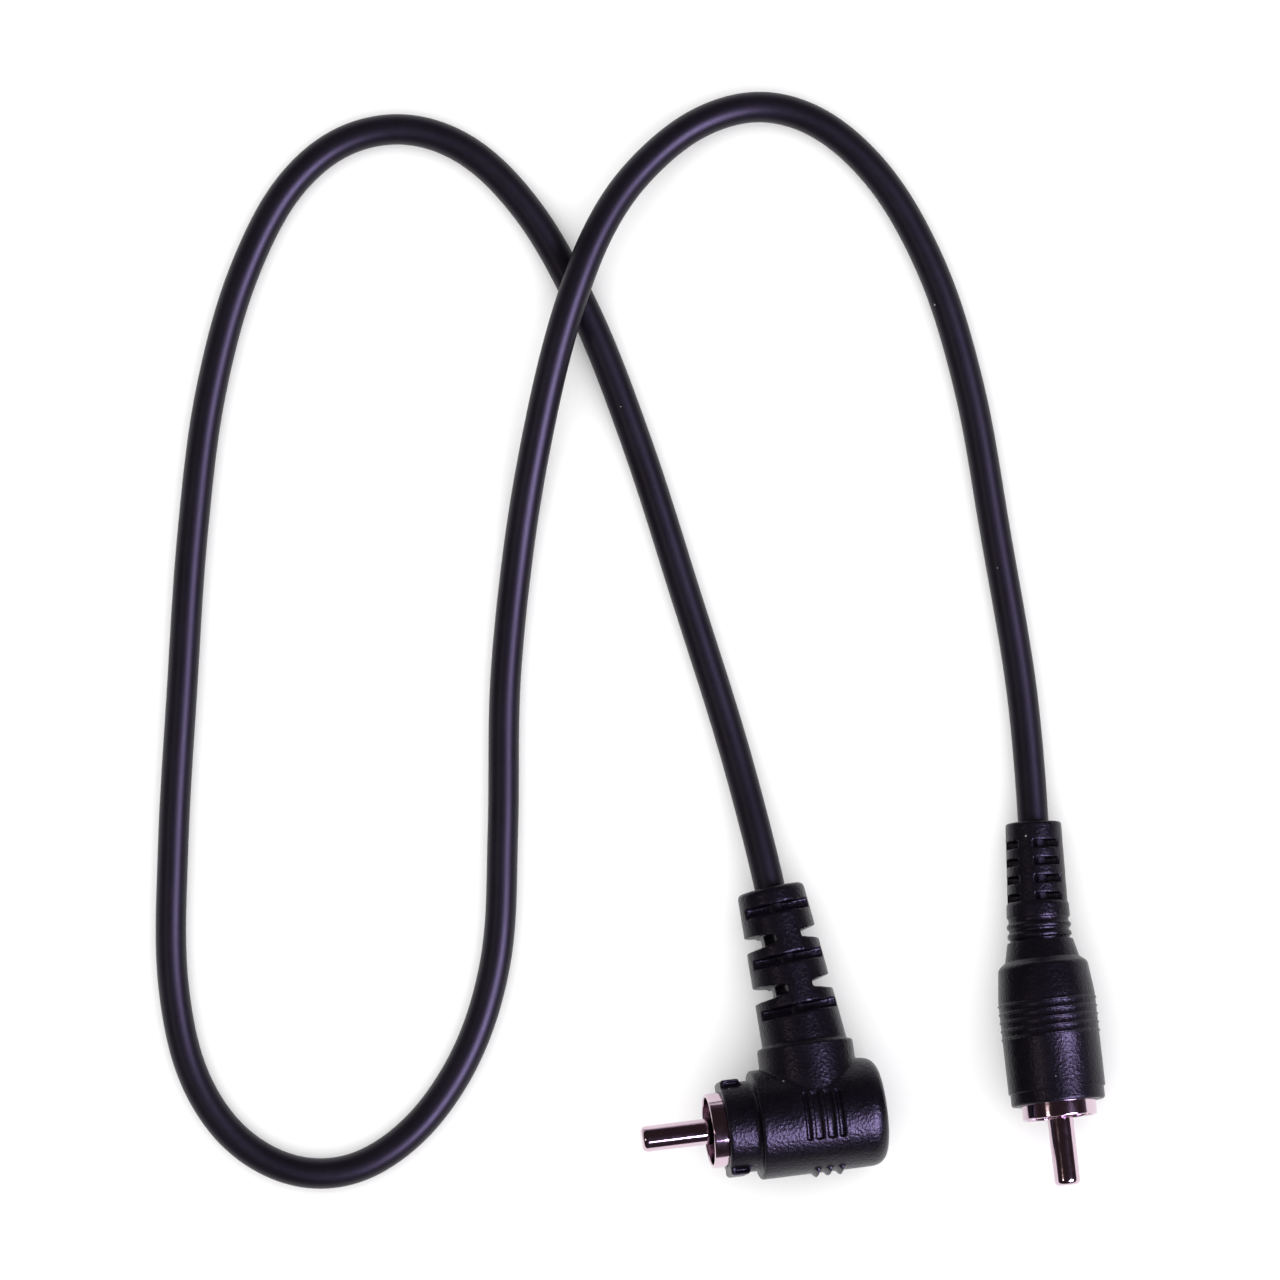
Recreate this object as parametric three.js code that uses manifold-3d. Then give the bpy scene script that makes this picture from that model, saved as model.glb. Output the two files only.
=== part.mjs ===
// A moulded coaxial lead, 0.55 m long, with a right-angle phono plug on one end and a straight
// phono plug on the other. Millimetres, +Z up, lying on the plane z = 0. The origin is on that
// plane, under the middle of the two plugs.
//
// Each plug is built lying on its own axes and is then turned and set down on the plane:
//   straight plug   +Y runs from the open nose to the cable, with y = 0 at the moulding's nose
//   right-angle     the barrel lies along X with its nose at -X, and the boot leaves towards +Y
import * as THREE from "three";
import { mergeVertices } from "three/addons/utils/BufferGeometryUtils.js";
import Module from "manifold-3d";

const wasm = await Module();
wasm.setup();

const GAP = 0.3; // between pieces that touch
const ROUND = 24; // sides of a turned piece
const FAR = 30; // further than any cut has to reach

// Cable layers, from the conductor outwards
const CONDUCTOR_RADIUS = 0.25;
const DIELECTRIC_WALL = 0.4;
const SHIELD_WALL = 0.15;
const JACKET_WALL = 0.5;
const LAYER_GAP = 0.2;
const CABLE_SIDES = 8;
const CABLE_STEPS = 50; // along the free cable

const DIELECTRIC_BORE = CONDUCTOR_RADIUS + LAYER_GAP;
const DIELECTRIC_RADIUS = DIELECTRIC_BORE + DIELECTRIC_WALL;
const SHIELD_BORE = DIELECTRIC_RADIUS + LAYER_GAP;
const SHIELD_RADIUS = SHIELD_BORE + SHIELD_WALL;
const JACKET_BORE = SHIELD_RADIUS + LAYER_GAP;
const CABLE_RADIUS = JACKET_BORE + JACKET_WALL;
const CABLE_HOLE = CABLE_RADIUS + GAP; // radius of the hole that a boot leaves for the cable

// Contact set, the same in both plugs; heights run from the moulding's nose towards the cable
const PIN_RADIUS = 1.6;
const PIN_REACH = 8.4; // pin beyond the shell's rim
const PIN_TIP_ROUND = 0.95;
const PIN_HEAD = 2.4; // full-width pin inside the insulator
const PIN_TAIL_RADIUS = 1.0;
const SHELL_RADIUS = 4.6;
const SHELL_WALL = 0.42;
const SHELL_REACH = 1.8; // shell beyond the moulding's nose
const SHELL_DEPTH = 7.5; // from the moulding's nose to the back of the shell's base
const INSULATOR_DEPTH = 3.6; // from the moulding's nose down to the insulator's face
const BOSS_WALL = 0.9;
const BOSS_RADIUS = PIN_TAIL_RADIUS + GAP + BOSS_WALL; // insulator's boss through the shell's base
const BOSS_LENGTH = 0.8; // boss behind the shell's base
const TAG_THICKNESS = 0.4;
const TAG_WIDTH = 2.0;
const TAG_LENGTH = 1.2;
const TAIL_RADIUS = 0.22; // the screen's wires, gathered
const DROP_RADIUS = 0.35; // solder on the tag
const DROP_SETBACK = 0.2; // middle of that solder, short of the tag's end
const JOINT_RADIUS = 0.8; // solder between the pin's tail and the conductor

// Where each stripped layer ends, from the solder joint's middle along the cable
const CONDUCTOR_STRIP = JOINT_RADIUS + GAP;
const DIELECTRIC_STRIP = CONDUCTOR_STRIP + 0.9;
const SHIELD_STRIP = DIELECTRIC_STRIP + 1.0;
const JACKET_STRIP = SHIELD_STRIP + 1.2;

// Inner mould, a hard cup behind the shell
const INNER_RADIUS = SHELL_RADIUS;
const INNER_WALL = 0.6;
const INNER_START = SHELL_DEPTH + TAG_THICKNESS + 2 * GAP;
const CAVITY_RADIUS = SHELL_RADIUS + GAP; // the room in each overmould for shell and inner mould
const TAG_MARGIN = 0.8; // from the inner mould's bore to the middle of the tag
const TAG_OFFSET = INNER_RADIUS - INNER_WALL - TAG_MARGIN; // middle of the tag from the pin's axis
const TAG_END = SHELL_DEPTH + GAP + TAG_THICKNESS / 2 + TAG_LENGTH;
const DROP_PLACE = TAG_END - DROP_SETBACK;
const DROP_OFFSET = TAG_OFFSET - TAG_THICKNESS / 2 - DROP_RADIUS - GAP;
const TAIL_GAP = 0.5; // wires short of that solder, because they meet it aslant
const TAIL_PLACE = DROP_PLACE + DROP_RADIUS + TAIL_GAP; // end of the gathered wires
const TAIL_OFFSET = SHIELD_RADIUS + TAIL_RADIUS + GAP + 0.15; // its start, beside the screen

// Straight plug's overmould: heights from its nose
const STRAIGHT_JOINT = SHELL_DEPTH + BOSS_LENGTH + 3.0; // middle of the solder joint
const JACKET_HELD = 1.1; // jacket inside the inner mould
const INNER_END = STRAIGHT_JOINT + JACKET_STRIP + JACKET_HELD;
const NOSE_WALL = 0.9;
const NOSE_RADIUS = CAVITY_RADIUS + NOSE_WALL;
const NOSE_BAND = 1.6;
const NOSE_ROUND = 0.4;
const BODY_RADIUS = NOSE_RADIUS + 0.2;
const RIDGES = 5;
const RIDGE_PITCH = 1.03;
const RIDGE_RISE = 0.12;
const RIDGES_START = 7.9;
const SHOULDER = INNER_END + GAP + 0.2;
const SHOULDER_RADIUS = BODY_RADIUS - 0.5;
const SHOULDER_ROUND = 0.9;
const BOOT_WALL = 1.25; // round the cable, at the tail
const BOOT_TAIL_RADIUS = CABLE_HOLE + BOOT_WALL;
const BOOT_RADIUS = BOOT_TAIL_RADIUS + 0.27; // at the first row of windows
const BOOT_BAND_RADIUS = BOOT_RADIUS + 0.14; // smooth band before the windows
const BOOT_BAND = 1.6;
const COLLAR_RADIUS = BOOT_BAND_RADIUS + 0.1; // two raised rings
const SLEEVE_RADIUS = COLLAR_RADIUS + 0.65; // cone that follows the shoulder
const COLLARS = [SHOULDER + 3.7, SHOULDER + 4.9];
const BOOT_START = SHOULDER + 5.9;
const BOOT_LENGTH = 11.8;
const STRAIGHT_LENGTH = BOOT_START + BOOT_LENGTH;
const BOOT_BEND = 3.4; // degrees that the straight plug's boot is bent out of line
const BEND_START = SHOULDER + 1.9;
const BEND_LENGTH = 4;
const WINDOW_ROWS = 4;
const WINDOW_PITCH = 2.18;
const WINDOW_HEIGHT = 0.95;
const WINDOW_TAIL = 2.8; // from the tail to the middle of the last row
const WINDOW_RIB = 1.9; // width of the four ribs between the windows

// Right-angle plug's overmould
const ELBOW_ROOM = 3.2; // from the insulator's boss to the boot's axis
const NOSE_OFFSET = SHELL_DEPTH + BOSS_LENGTH + ELBOW_ROOM; // nose to the boot's axis
const COLLAR_LENGTH = 4.0;
const COLLAR_WALL = 0.7;
const NOSE_COLLAR_RADIUS = CAVITY_RADIUS + COLLAR_WALL;
const BARREL_STEP = 1.14;
const BARREL_RADIUS = NOSE_COLLAR_RADIUS + BARREL_STEP;
const BARREL_WALL = 3.2; // closed end of the barrel
const INNER_REACH = CAVITY_RADIUS; // inner mould beyond the boot's axis
const BARREL_END = INNER_REACH + GAP + BARREL_WALL; // closed end from the boot's axis
const BARREL_ROUND = 2.0;
const BARREL_DOME = 0.15;
const LUG_LENGTH = 2.7;
const LUG_HALF_WIDTH = 2.5;
const LUG_HEIGHT = NOSE_COLLAR_RADIUS + 0.3; // lug's flat from the barrel's axis
const LUG_SLOPE = 0.9;
const LUG_RECESS = 1.7;
const GRIP_MIDDLE = 0.25; // ribbed recess, along the barrel
const TEETH_MIDDLE = 0.8;
const GRIP_WIDTH = 4.75;
const GRIP_HEIGHT = 5.9;
const GRIP_DEPTH = 0.4;
const GRIP_PITCH = 1.5;
const GRIP_RIB = 0.5;
const TOOTH_HEIGHT = 0.5;
const TOOTH_HALF_BASE = 0.9;
const TOOTH_REACH = 2.6; // half the length of a tooth round the barrel
const INNER_BOSS_RADIUS = CABLE_HOLE + 0.8;
const INNER_BOSS_END = 8.4;
const NECK_RADIUS = INNER_BOSS_RADIUS + GAP + 2.65;
const NECK_TOP = INNER_BOSS_END + GAP + 0.5;
const FOOT_RADIUS = NECK_RADIUS - 0.65; // boot where it leaves the neck
const ANGLE_TAIL_RADIUS = CABLE_HOLE + 1.95;
const ANGLE_BOOT_RISE = 19.7; // boot above the neck
const ANGLE_BOOT_LENGTH = NECK_TOP + ANGLE_BOOT_RISE;
const BOOT_LEAN = 5.0; // degrees that the boot leans towards the nose, above the neck
const BOOT_ROOT = 1; // boot buried in the neck
const SLOT_TAIL = 2.7; // from the tail to the middle of the last slot
const SLOT_PITCH = 6.35;
const SLOT_COUNT = 3;
const SLOT_HEIGHT = 1.1;
const WEB_HALF = CABLE_HOLE - 0.5; // half the webs that slots and notches leave in the middle
const NOTCH_MOUTH = 2.1;
const NOTCH_SHARE = 0.58; // of the slot pitch, from each slot down to the next notch
const NOTCH_FLOOR = 0.9;

// How the plugs lie, in degrees, and where their origins are over the plane
const ANGLE_PLACE = { x: -7.2, y: -13.85, turn: 7.5, noseUp: 8, tailDown: 6.6 };
const STRAIGHT_PLACE = { x: 22.9, y: -12.0, turn: 6.2, roll: -22, tailDown: 6.6 };

// The free cable's way from the right-angle plug to the straight one: where it lies on the
// plane, and how high its middle is lifted where it leaves a plug or crosses over itself.
const LYING = CABLE_RADIUS + 0.1;
const HUMP = 2 * CABLE_RADIUS + 0.5; // lift where the cable crosses over itself
const LEAVING = 3; // straight out of each boot
const SHARED_FROM = 1.5; // from the end of the jacket to the first station that all layers share
const ROUTE = [
  [-17.1, 31.8, LYING + 0.1 * HUMP],
  [-23.0, 50.6, LYING],
  [-28.9, 69.0, LYING],
  [-35.3, 85.4, LYING],
  [-42.6, 98.4, LYING],
  [-50.2, 105.9, LYING],
  [-57.8, 108.5, LYING],
  [-65.5, 107.0, LYING],
  [-72.1, 101.5, LYING],
  [-77.9, 90.5, LYING],
  [-82.0, 75.5, LYING],
  [-84.2, 58.1, LYING],
  [-85.5, 38.8, LYING],
  [-86.6, 19.3, LYING],
  [-86.6, 2.5, LYING],
  [-83.9, -9.4, LYING],
  [-78.6, -17.0, LYING],
  [-71.5, -20.8, LYING],
  [-64.4, -20.6, LYING],
  [-57.0, -16.0, LYING],
  [-50.4, -6.8, LYING],
  [-46.6, 5.2, LYING],
  [-45.7, 21.3, LYING],
  [-45.4, 39.9, LYING],
  [-43.6, 57.5, LYING + 0.07 * HUMP],
  [-41.5, 69.8, LYING + 0.5 * HUMP],
  [-39.1, 80.5, LYING + 0.89 * HUMP],
  [-36.8, 88.2, LYING + HUMP],
  [-33.9, 95.5, LYING + 0.9 * HUMP],
  [-29.7, 102.1, LYING + 0.63 * HUMP],
  [-21.8, 109.0, LYING + 0.22 * HUMP],
  [-14.0, 111.3, LYING + 0.03 * HUMP],
  [-6.8, 109.4, LYING],
  [0.8, 102.8, LYING],
  [7.5, 91.2, LYING],
  [12.1, 76.5, LYING],
  [15.4, 58.2, LYING],
  [18.6, 39.1, LYING + 0.05 * HUMP],
];

const rad = THREE.MathUtils.degToRad;

function finish(color, roughness, metalness) {
  return new THREE.MeshStandardMaterial({ color, roughness, metalness });
}

const moulding = finish(0x17151c, 0.55, 0);
const jacket = finish(0x1b1920, 0.45, 0);
const nickel = finish(0xc9c2bf, 0.18, 1);
const copper = finish(0xb87350, 0.3, 1);
const solder = finish(0xa9abb0, 0.35, 1);
const black = finish(0x111114, 0.5, 0);
const natural = finish(0xd9d6cc, 0.5, 0);

// Booleans -----------------------------------------------------------------------------------

function solid(geometry) {
  const bare = new THREE.BufferGeometry();
  const flat = geometry.index ? geometry.toNonIndexed() : geometry;
  bare.setAttribute("position", flat.getAttribute("position"));
  const merged = mergeVertices(bare, 1e-4);
  return new wasm.Manifold(
    new wasm.Mesh({
      numProp: 3,
      vertProperties: new Float32Array(merged.attributes.position.array),
      triVerts: new Uint32Array(merged.index.array),
    }),
  );
}

function geometryOf(body) {
  const mesh = body.getMesh();
  const geometry = new THREE.BufferGeometry();
  geometry.setAttribute("position", new THREE.BufferAttribute(mesh.vertProperties, 3));
  geometry.setIndex(new THREE.BufferAttribute(mesh.triVerts, 1));
  return geometry;
}

function join(body, ...others) {
  return others.reduce((sum, other) => sum.add(other), body);
}

function cut(body, ...tools) {
  return tools.reduce((rest, tool) => rest.subtract(tool), body);
}

// Shapes -------------------------------------------------------------------------------------

// A closed outline of [radius, height] points, listed counter-clockwise, turned about Y.
function turned(outline, sides = ROUND) {
  const points = outline.map(([radius, height]) => new THREE.Vector2(radius, height));
  const first = points[0];
  const last = points[points.length - 1];
  if (first.x > 0 || last.x > 0) points.push(first.clone());
  return new THREE.LatheGeometry(points, sides);
}

function rod(radius, from, to, sides = ROUND) {
  return turned([[0, from], [radius, from], [radius, to], [0, to]], sides);
}

function tube(bore, radius, from, to) {
  return turned([[bore, from], [radius, from], [radius, to], [bore, to]]);
}

function box(width, depth, height, x = 0, y = 0, z = 0) {
  return new THREE.BoxGeometry(width, depth, height).translate(x, y, z);
}

// Points on a quarter circle that rounds a corner, in [radius, height].
function quarter(radius, height, round, fromDegrees, toDegrees, steps = 3) {
  return Array.from({ length: steps + 1 }, (_, i) => {
    const angle = rad(fromDegrees + ((toDegrees - fromDegrees) * i) / steps);
    return [radius + round * Math.cos(angle), height + round * Math.sin(angle)];
  });
}

function piece(name, geometry, material) {
  const mesh = new THREE.Mesh(geometry, material);
  mesh.name = name;
  return mesh;
}

// Contact set --------------------------------------------------------------------------------

function contactShell() {
  const bore = SHELL_RADIUS - SHELL_WALL;
  return turned([
    [bore + 0.1, -SHELL_REACH],
    [SHELL_RADIUS - 0.1, -SHELL_REACH],
    [SHELL_RADIUS, -SHELL_REACH + 0.15],
    [SHELL_RADIUS, SHELL_DEPTH],
    [BOSS_RADIUS + GAP, SHELL_DEPTH],
    [BOSS_RADIUS + GAP, SHELL_DEPTH - SHELL_WALL],
    [bore, SHELL_DEPTH - SHELL_WALL],
    [bore, -SHELL_REACH + 0.15],
  ]);
}

function insulator() {
  const disc = SHELL_RADIUS - SHELL_WALL - GAP;
  const step = INSULATOR_DEPTH + PIN_HEAD + GAP;
  return turned([
    [PIN_RADIUS + GAP, INSULATOR_DEPTH],
    [disc, INSULATOR_DEPTH],
    [disc, SHELL_DEPTH - SHELL_WALL - GAP],
    [BOSS_RADIUS, SHELL_DEPTH - SHELL_WALL - GAP],
    [BOSS_RADIUS, SHELL_DEPTH + BOSS_LENGTH],
    [PIN_TAIL_RADIUS + GAP, SHELL_DEPTH + BOSS_LENGTH],
    [PIN_TAIL_RADIUS + GAP, step],
    [PIN_RADIUS + GAP, step],
  ]);
}

// The pin, whose tail ends at the solder joint.
function centrePin(joint) {
  const tip = -SHELL_REACH - PIN_REACH;
  const head = INSULATOR_DEPTH + PIN_HEAD;
  const tailEnd = joint - JOINT_RADIUS - GAP;
  return turned([
    [0, tip],
    ...quarter(PIN_RADIUS - PIN_TIP_ROUND, tip + PIN_TIP_ROUND, PIN_TIP_ROUND, -90, 0),
    [PIN_RADIUS, head],
    [PIN_TAIL_RADIUS, head],
    [PIN_TAIL_RADIUS, tailEnd],
    [0, tailEnd],
  ], 20);
}

// A washer against the back of the shell's base, with a tag that stands up on the -X side.
function groundTag() {
  const base = SHELL_DEPTH + GAP;
  const washer = tube(BOSS_RADIUS + GAP, SHELL_RADIUS - GAP, base, base + TAG_THICKNESS);
  const tag = box(TAG_THICKNESS, TAG_LENGTH, TAG_WIDTH,
    -TAG_OFFSET, TAG_END - TAG_LENGTH / 2, 0);
  return geometryOf(join(solid(washer), solid(tag)));
}

function solderDrop(radius, x, y) {
  return new THREE.SphereGeometry(radius, 10, 6).translate(x, y, 0);
}

// The screen's wires, gathered into a tail that is bent from the cable over to the tag.
function shieldTail(...places) {
  const points = places.map(([x, y]) => new THREE.Vector3(x, y, 0));
  const section = new THREE.Shape().absarc(0, 0, TAIL_RADIUS, 0, 2 * Math.PI);
  return new THREE.ExtrudeGeometry(section, {
    steps: 6,
    curveSegments: 4,
    bevelEnabled: false,
    extrudePath: new THREE.CatmullRomCurve3(points),
  });
}

// Adds the contact set to a frame whose +Y runs from the nose to the back, with the solder joint
// at the given height.
function addContacts(frame, name, joint) {
  frame.add(
    piece(name + "_contact_shell", contactShell(), nickel),
    piece(name + "_insulator", insulator(), black),
    piece(name + "_centre_pin", centrePin(joint), nickel),
    piece(name + "_ground_tag", groundTag(), nickel),
    piece(name + "_pin_solder", solderDrop(JOINT_RADIUS, 0, joint), solder),
  );
}

// Straight plug ------------------------------------------------------------------------------

// Carries a place in the straight plug over to the bent boot. The bend is level, whatever the
// plug's roll about its own axis.
function bendPlace(place) {
  const past = Math.max(place.y - BEND_START, 0);
  const bending = Math.min(past, BEND_LENGTH);
  const slope = (Math.tan(rad(BOOT_BEND)) * bending) / BEND_LENGTH;
  const aside = slope * (past - bending / 2);
  const roll = rad(STRAIGHT_PLACE.roll);
  const level = new THREE.Vector3(Math.cos(roll), 0, Math.sin(roll));
  place.y -= slope * place.dot(level);
  return place.addScaledVector(level, aside);
}

function bent(geometry) {
  const position = geometry.getAttribute("position");
  const place = new THREE.Vector3();
  for (let i = 0; i < position.count; i += 1) {
    position.setXYZ(i, ...bendPlace(place.fromBufferAttribute(position, i)));
  }
  return geometry;
}

function straightOutline() {
  const ridges = [];
  for (let i = 0; i < RIDGES; i += 1) {
    const height = RIDGES_START + i * RIDGE_PITCH;
    ridges.push([BODY_RADIUS - RIDGE_RISE, height]);
    ridges.push([BODY_RADIUS + RIDGE_RISE, height + RIDGE_PITCH / 2]);
  }
  const ridgesEnd = RIDGES_START + RIDGES * RIDGE_PITCH;
  const rings = COLLARS.flatMap((height) => [
    [COLLAR_RADIUS - 0.25, height - 0.45],
    [COLLAR_RADIUS, height - 0.15],
    [COLLAR_RADIUS, height + 0.15],
  ]);
  return [
    [CAVITY_RADIUS, 0],
    ...quarter(NOSE_RADIUS - NOSE_ROUND, NOSE_ROUND, NOSE_ROUND, -90, 0, 2),
    [NOSE_RADIUS, NOSE_BAND],
    [BODY_RADIUS, NOSE_BAND + 0.05],
    ...ridges,
    [BODY_RADIUS, ridgesEnd],
    ...quarter(SHOULDER_RADIUS - SHOULDER_ROUND, SHOULDER, SHOULDER_ROUND, 0, 90, 3),
    [SLEEVE_RADIUS, SHOULDER + SHOULDER_ROUND],
    [COLLAR_RADIUS + 0.1, COLLARS[0] - 0.8],
    ...rings,
    [BOOT_BAND_RADIUS, BOOT_START],
    [BOOT_BAND_RADIUS, BOOT_START + BOOT_BAND],
    [BOOT_RADIUS, BOOT_START + BOOT_BAND + 0.3],
    ...quarter(BOOT_TAIL_RADIUS - 0.4, STRAIGHT_LENGTH - 0.4, 0.4, 0, 90, 2),
    [CABLE_HOLE, STRAIGHT_LENGTH],
    [CABLE_HOLE, INNER_END + GAP],
    [CAVITY_RADIUS, INNER_END + GAP],
  ];
}

// The rows of windows through the boot, with the four ribs left standing.
function windowCuts() {
  const cuts = [];
  for (let row = 0; row < WINDOW_ROWS; row += 1) {
    const height = STRAIGHT_LENGTH - WINDOW_TAIL - row * WINDOW_PITCH;
    const ring = solid(rod(2 * BOOT_RADIUS, height - WINDOW_HEIGHT / 2, height + WINDOW_HEIGHT / 2, 12));
    const across = solid(box(FAR, FAR, WINDOW_RIB, 0, height, 0));
    const along = solid(box(WINDOW_RIB, FAR, FAR, 0, height, 0));
    cuts.push(cut(ring, across, along));
  }
  return cuts;
}

function straightInnerMould() {
  return turned([
    [INNER_RADIUS - INNER_WALL, INNER_START],
    [INNER_RADIUS, INNER_START],
    [INNER_RADIUS, INNER_END],
    [CABLE_HOLE, INNER_END],
    [CABLE_HOLE, INNER_END - INNER_WALL],
    [INNER_RADIUS - INNER_WALL, INNER_END - INNER_WALL],
  ]);
}

function straightPlug() {
  const plug = new THREE.Group();
  const overmould = cut(solid(turned(straightOutline())), ...windowCuts());
  const tailStart = STRAIGHT_JOINT + JACKET_STRIP - GAP;
  plug.add(
    piece("straight_overmould", bent(geometryOf(overmould)), moulding),
    piece("straight_inner_mould", straightInnerMould(), natural),
    piece("straight_ground_solder", solderDrop(DROP_RADIUS, -DROP_OFFSET, DROP_PLACE), solder),
    piece("straight_shield_tail", shieldTail(
      [-TAIL_OFFSET, tailStart],
      [-TAIL_OFFSET, (tailStart + TAIL_PLACE) / 2],
      [-DROP_OFFSET, TAIL_PLACE],
    ), copper),
  );
  addContacts(plug, "straight", STRAIGHT_JOINT);
  return plug;
}

// Right-angle plug ---------------------------------------------------------------------------

// Turns a piece that was made about Y so that it lies along the barrel, nose at -X.
function alongBarrel(geometry) {
  return geometry.rotateZ(-Math.PI / 2).translate(-NOSE_OFFSET, 0, 0);
}

// Leans a piece that was made about Y with the boot, which is hinged on the neck.
function alongBoot(geometry) {
  return geometry.translate(0, -NECK_TOP, 0).rotateZ(rad(BOOT_LEAN)).translate(0, NECK_TOP, 0);
}

// Carries a place on the neck's axis over to the leaning boot.
function leanPlace(place) {
  const past = Math.max(place.y - NECK_TOP, 0);
  const lean = rad(BOOT_LEAN);
  return place.add(new THREE.Vector3(-Math.sin(lean), Math.cos(lean) - 1, 0).multiplyScalar(past));
}

function barrel() {
  const step = COLLAR_LENGTH;
  const end = NOSE_OFFSET + BARREL_END;
  return solid(alongBarrel(turned([
    [0, 0],
    [NOSE_COLLAR_RADIUS - 0.25, 0],
    [NOSE_COLLAR_RADIUS, 0.25],
    [NOSE_COLLAR_RADIUS, step - 0.5],
    [NOSE_COLLAR_RADIUS + 0.15, step - 0.15],
    [NOSE_COLLAR_RADIUS + 0.5, step],
    [BARREL_RADIUS, step],
    ...quarter(BARREL_RADIUS - BARREL_ROUND, end - BARREL_ROUND, BARREL_ROUND, 0, 90),
    [0, end + BARREL_DOME],
  ])));
}

// The two lugs on the nose collar, each with a shallow window in its sides.
function lugs() {
  const side = new THREE.Shape([
    new THREE.Vector2(0, 0),
    new THREE.Vector2(LUG_LENGTH, 0),
    new THREE.Vector2(LUG_LENGTH, LUG_HEIGHT - LUG_SLOPE),
    new THREE.Vector2(LUG_LENGTH - LUG_SLOPE / 2, LUG_HEIGHT),
    new THREE.Vector2(0.25, LUG_HEIGHT),
    new THREE.Vector2(0, LUG_HEIGHT - 0.25),
  ]);
  const one = new THREE.ExtrudeGeometry(side, { depth: 2 * LUG_HALF_WIDTH, bevelEnabled: false })
    .translate(-NOSE_OFFSET, 0, -LUG_HALF_WIDTH);
  const recessMiddle = -NOSE_OFFSET + 0.6 + LUG_RECESS / 2;
  const recesses = [1, -1].map((z) =>
    solid(box(LUG_RECESS, 0.5, 0.8, recessMiddle, LUG_HEIGHT - 0.6, z * LUG_HALF_WIDTH)));
  const upper = cut(solid(one), ...recesses);
  return [upper, upper.rotate([180, 0, 0])];
}

// The recess on the front (side 1) and back (side -1) of the barrel, with its three ribs.
function gripPocket(side) {
  const floor = BARREL_RADIUS - GRIP_DEPTH;
  const middle = side * BARREL_RADIUS;
  const block = solid(box(GRIP_WIDTH, GRIP_HEIGHT, 4, GRIP_MIDDLE, 0, middle));
  const core = solid(alongBarrel(rod(floor, 0, FAR)));
  const ribs = [-1, 0, 1].map((i) =>
    solid(box(GRIP_RIB, GRIP_HEIGHT + 1, 6, GRIP_MIDDLE + i * GRIP_PITCH, 0, middle)));
  return cut(block, core, ...ribs);
}

// Three teeth round the underside of the barrel.
function gripTeeth() {
  const root = BARREL_RADIUS - 0.4;
  const keep = solid(box(FAR, FAR, 2 * TOOTH_REACH, 0, -FAR / 2, 0));
  return [-1, 0, 1].map((i) => {
    const height = NOSE_OFFSET + TEETH_MIDDLE + i * GRIP_PITCH;
    const ring = alongBarrel(turned([
      [root, height - TOOTH_HALF_BASE],
      [BARREL_RADIUS + TOOTH_HEIGHT, height],
      [root, height + TOOTH_HALF_BASE],
    ]));
    return solid(ring).intersect(keep);
  });
}

function neck() {
  return solid(turned([
    [0, 0],
    [NECK_RADIUS, 0],
    [NECK_RADIUS, NECK_TOP - 0.3],
    [NECK_RADIUS - 0.3, NECK_TOP],
    [0, NECK_TOP],
  ]));
}

function angleBoot() {
  return solid(alongBoot(turned([
    [0, NECK_TOP - BOOT_ROOT],
    [FOOT_RADIUS, NECK_TOP - BOOT_ROOT],
    [FOOT_RADIUS, NECK_TOP],
    ...quarter(ANGLE_TAIL_RADIUS - 0.7, ANGLE_BOOT_LENGTH - 0.7, 0.7, 0, 90),
    [0, ANGLE_BOOT_LENGTH],
  ])));
}

function bootRadiusAt(height) {
  const share = (height - NECK_TOP) / (ANGLE_BOOT_LENGTH - NECK_TOP);
  return FOOT_RADIUS + share * (ANGLE_TAIL_RADIUS - FOOT_RADIUS);
}

// Slots from front and back, with notches from both sides between them.
function bootCuts() {
  const cuts = [];
  for (let i = 0; i < SLOT_COUNT; i += 1) {
    const height = ANGLE_BOOT_LENGTH - SLOT_TAIL - i * SLOT_PITCH;
    for (const side of [1, -1]) {
      cuts.push(box(FAR, SLOT_HEIGHT, FAR, 0, height, side * (FAR / 2 + WEB_HALF)));
    }
    if (i === SLOT_COUNT - 1) break;
    const between = height - NOTCH_SHARE * SLOT_PITCH;
    const mouth = bootRadiusAt(between) + 0.5;
    for (const side of [1, -1]) {
      const shape = new THREE.Shape([
        new THREE.Vector2(side * WEB_HALF, between - NOTCH_FLOOR / 2),
        new THREE.Vector2(side * mouth, between - NOTCH_MOUTH / 2),
        new THREE.Vector2(side * mouth, between + NOTCH_MOUTH / 2),
        new THREE.Vector2(side * WEB_HALF, between + NOTCH_FLOOR / 2),
      ]);
      cuts.push(new THREE.ExtrudeGeometry(shape, { depth: FAR, bevelEnabled: false })
        .translate(0, 0, -FAR / 2));
    }
  }
  return cuts.map((tool) => solid(alongBoot(tool)));
}

function angleOvermould() {
  const shellRoom = alongBarrel(rod(CAVITY_RADIUS, -1, NOSE_OFFSET + INNER_REACH + GAP));
  const bossRoom = rod(INNER_BOSS_RADIUS + GAP, 0, INNER_BOSS_END + GAP);
  const neckRoom = rod(CABLE_HOLE, 0, NECK_TOP + 0.1, 16);
  const bootRoom = alongBoot(rod(CABLE_HOLE, NECK_TOP - 0.1, ANGLE_BOOT_LENGTH + 1, 16));
  const outside = cut(
    join(barrel(), ...lugs(), neck(), angleBoot(), ...gripTeeth()),
    gripPocket(1),
    gripPocket(-1),
  );
  const rooms = [shellRoom, bossRoom, neckRoom, bootRoom].map(solid);
  return cut(outside, ...rooms, ...bootCuts());
}

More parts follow.
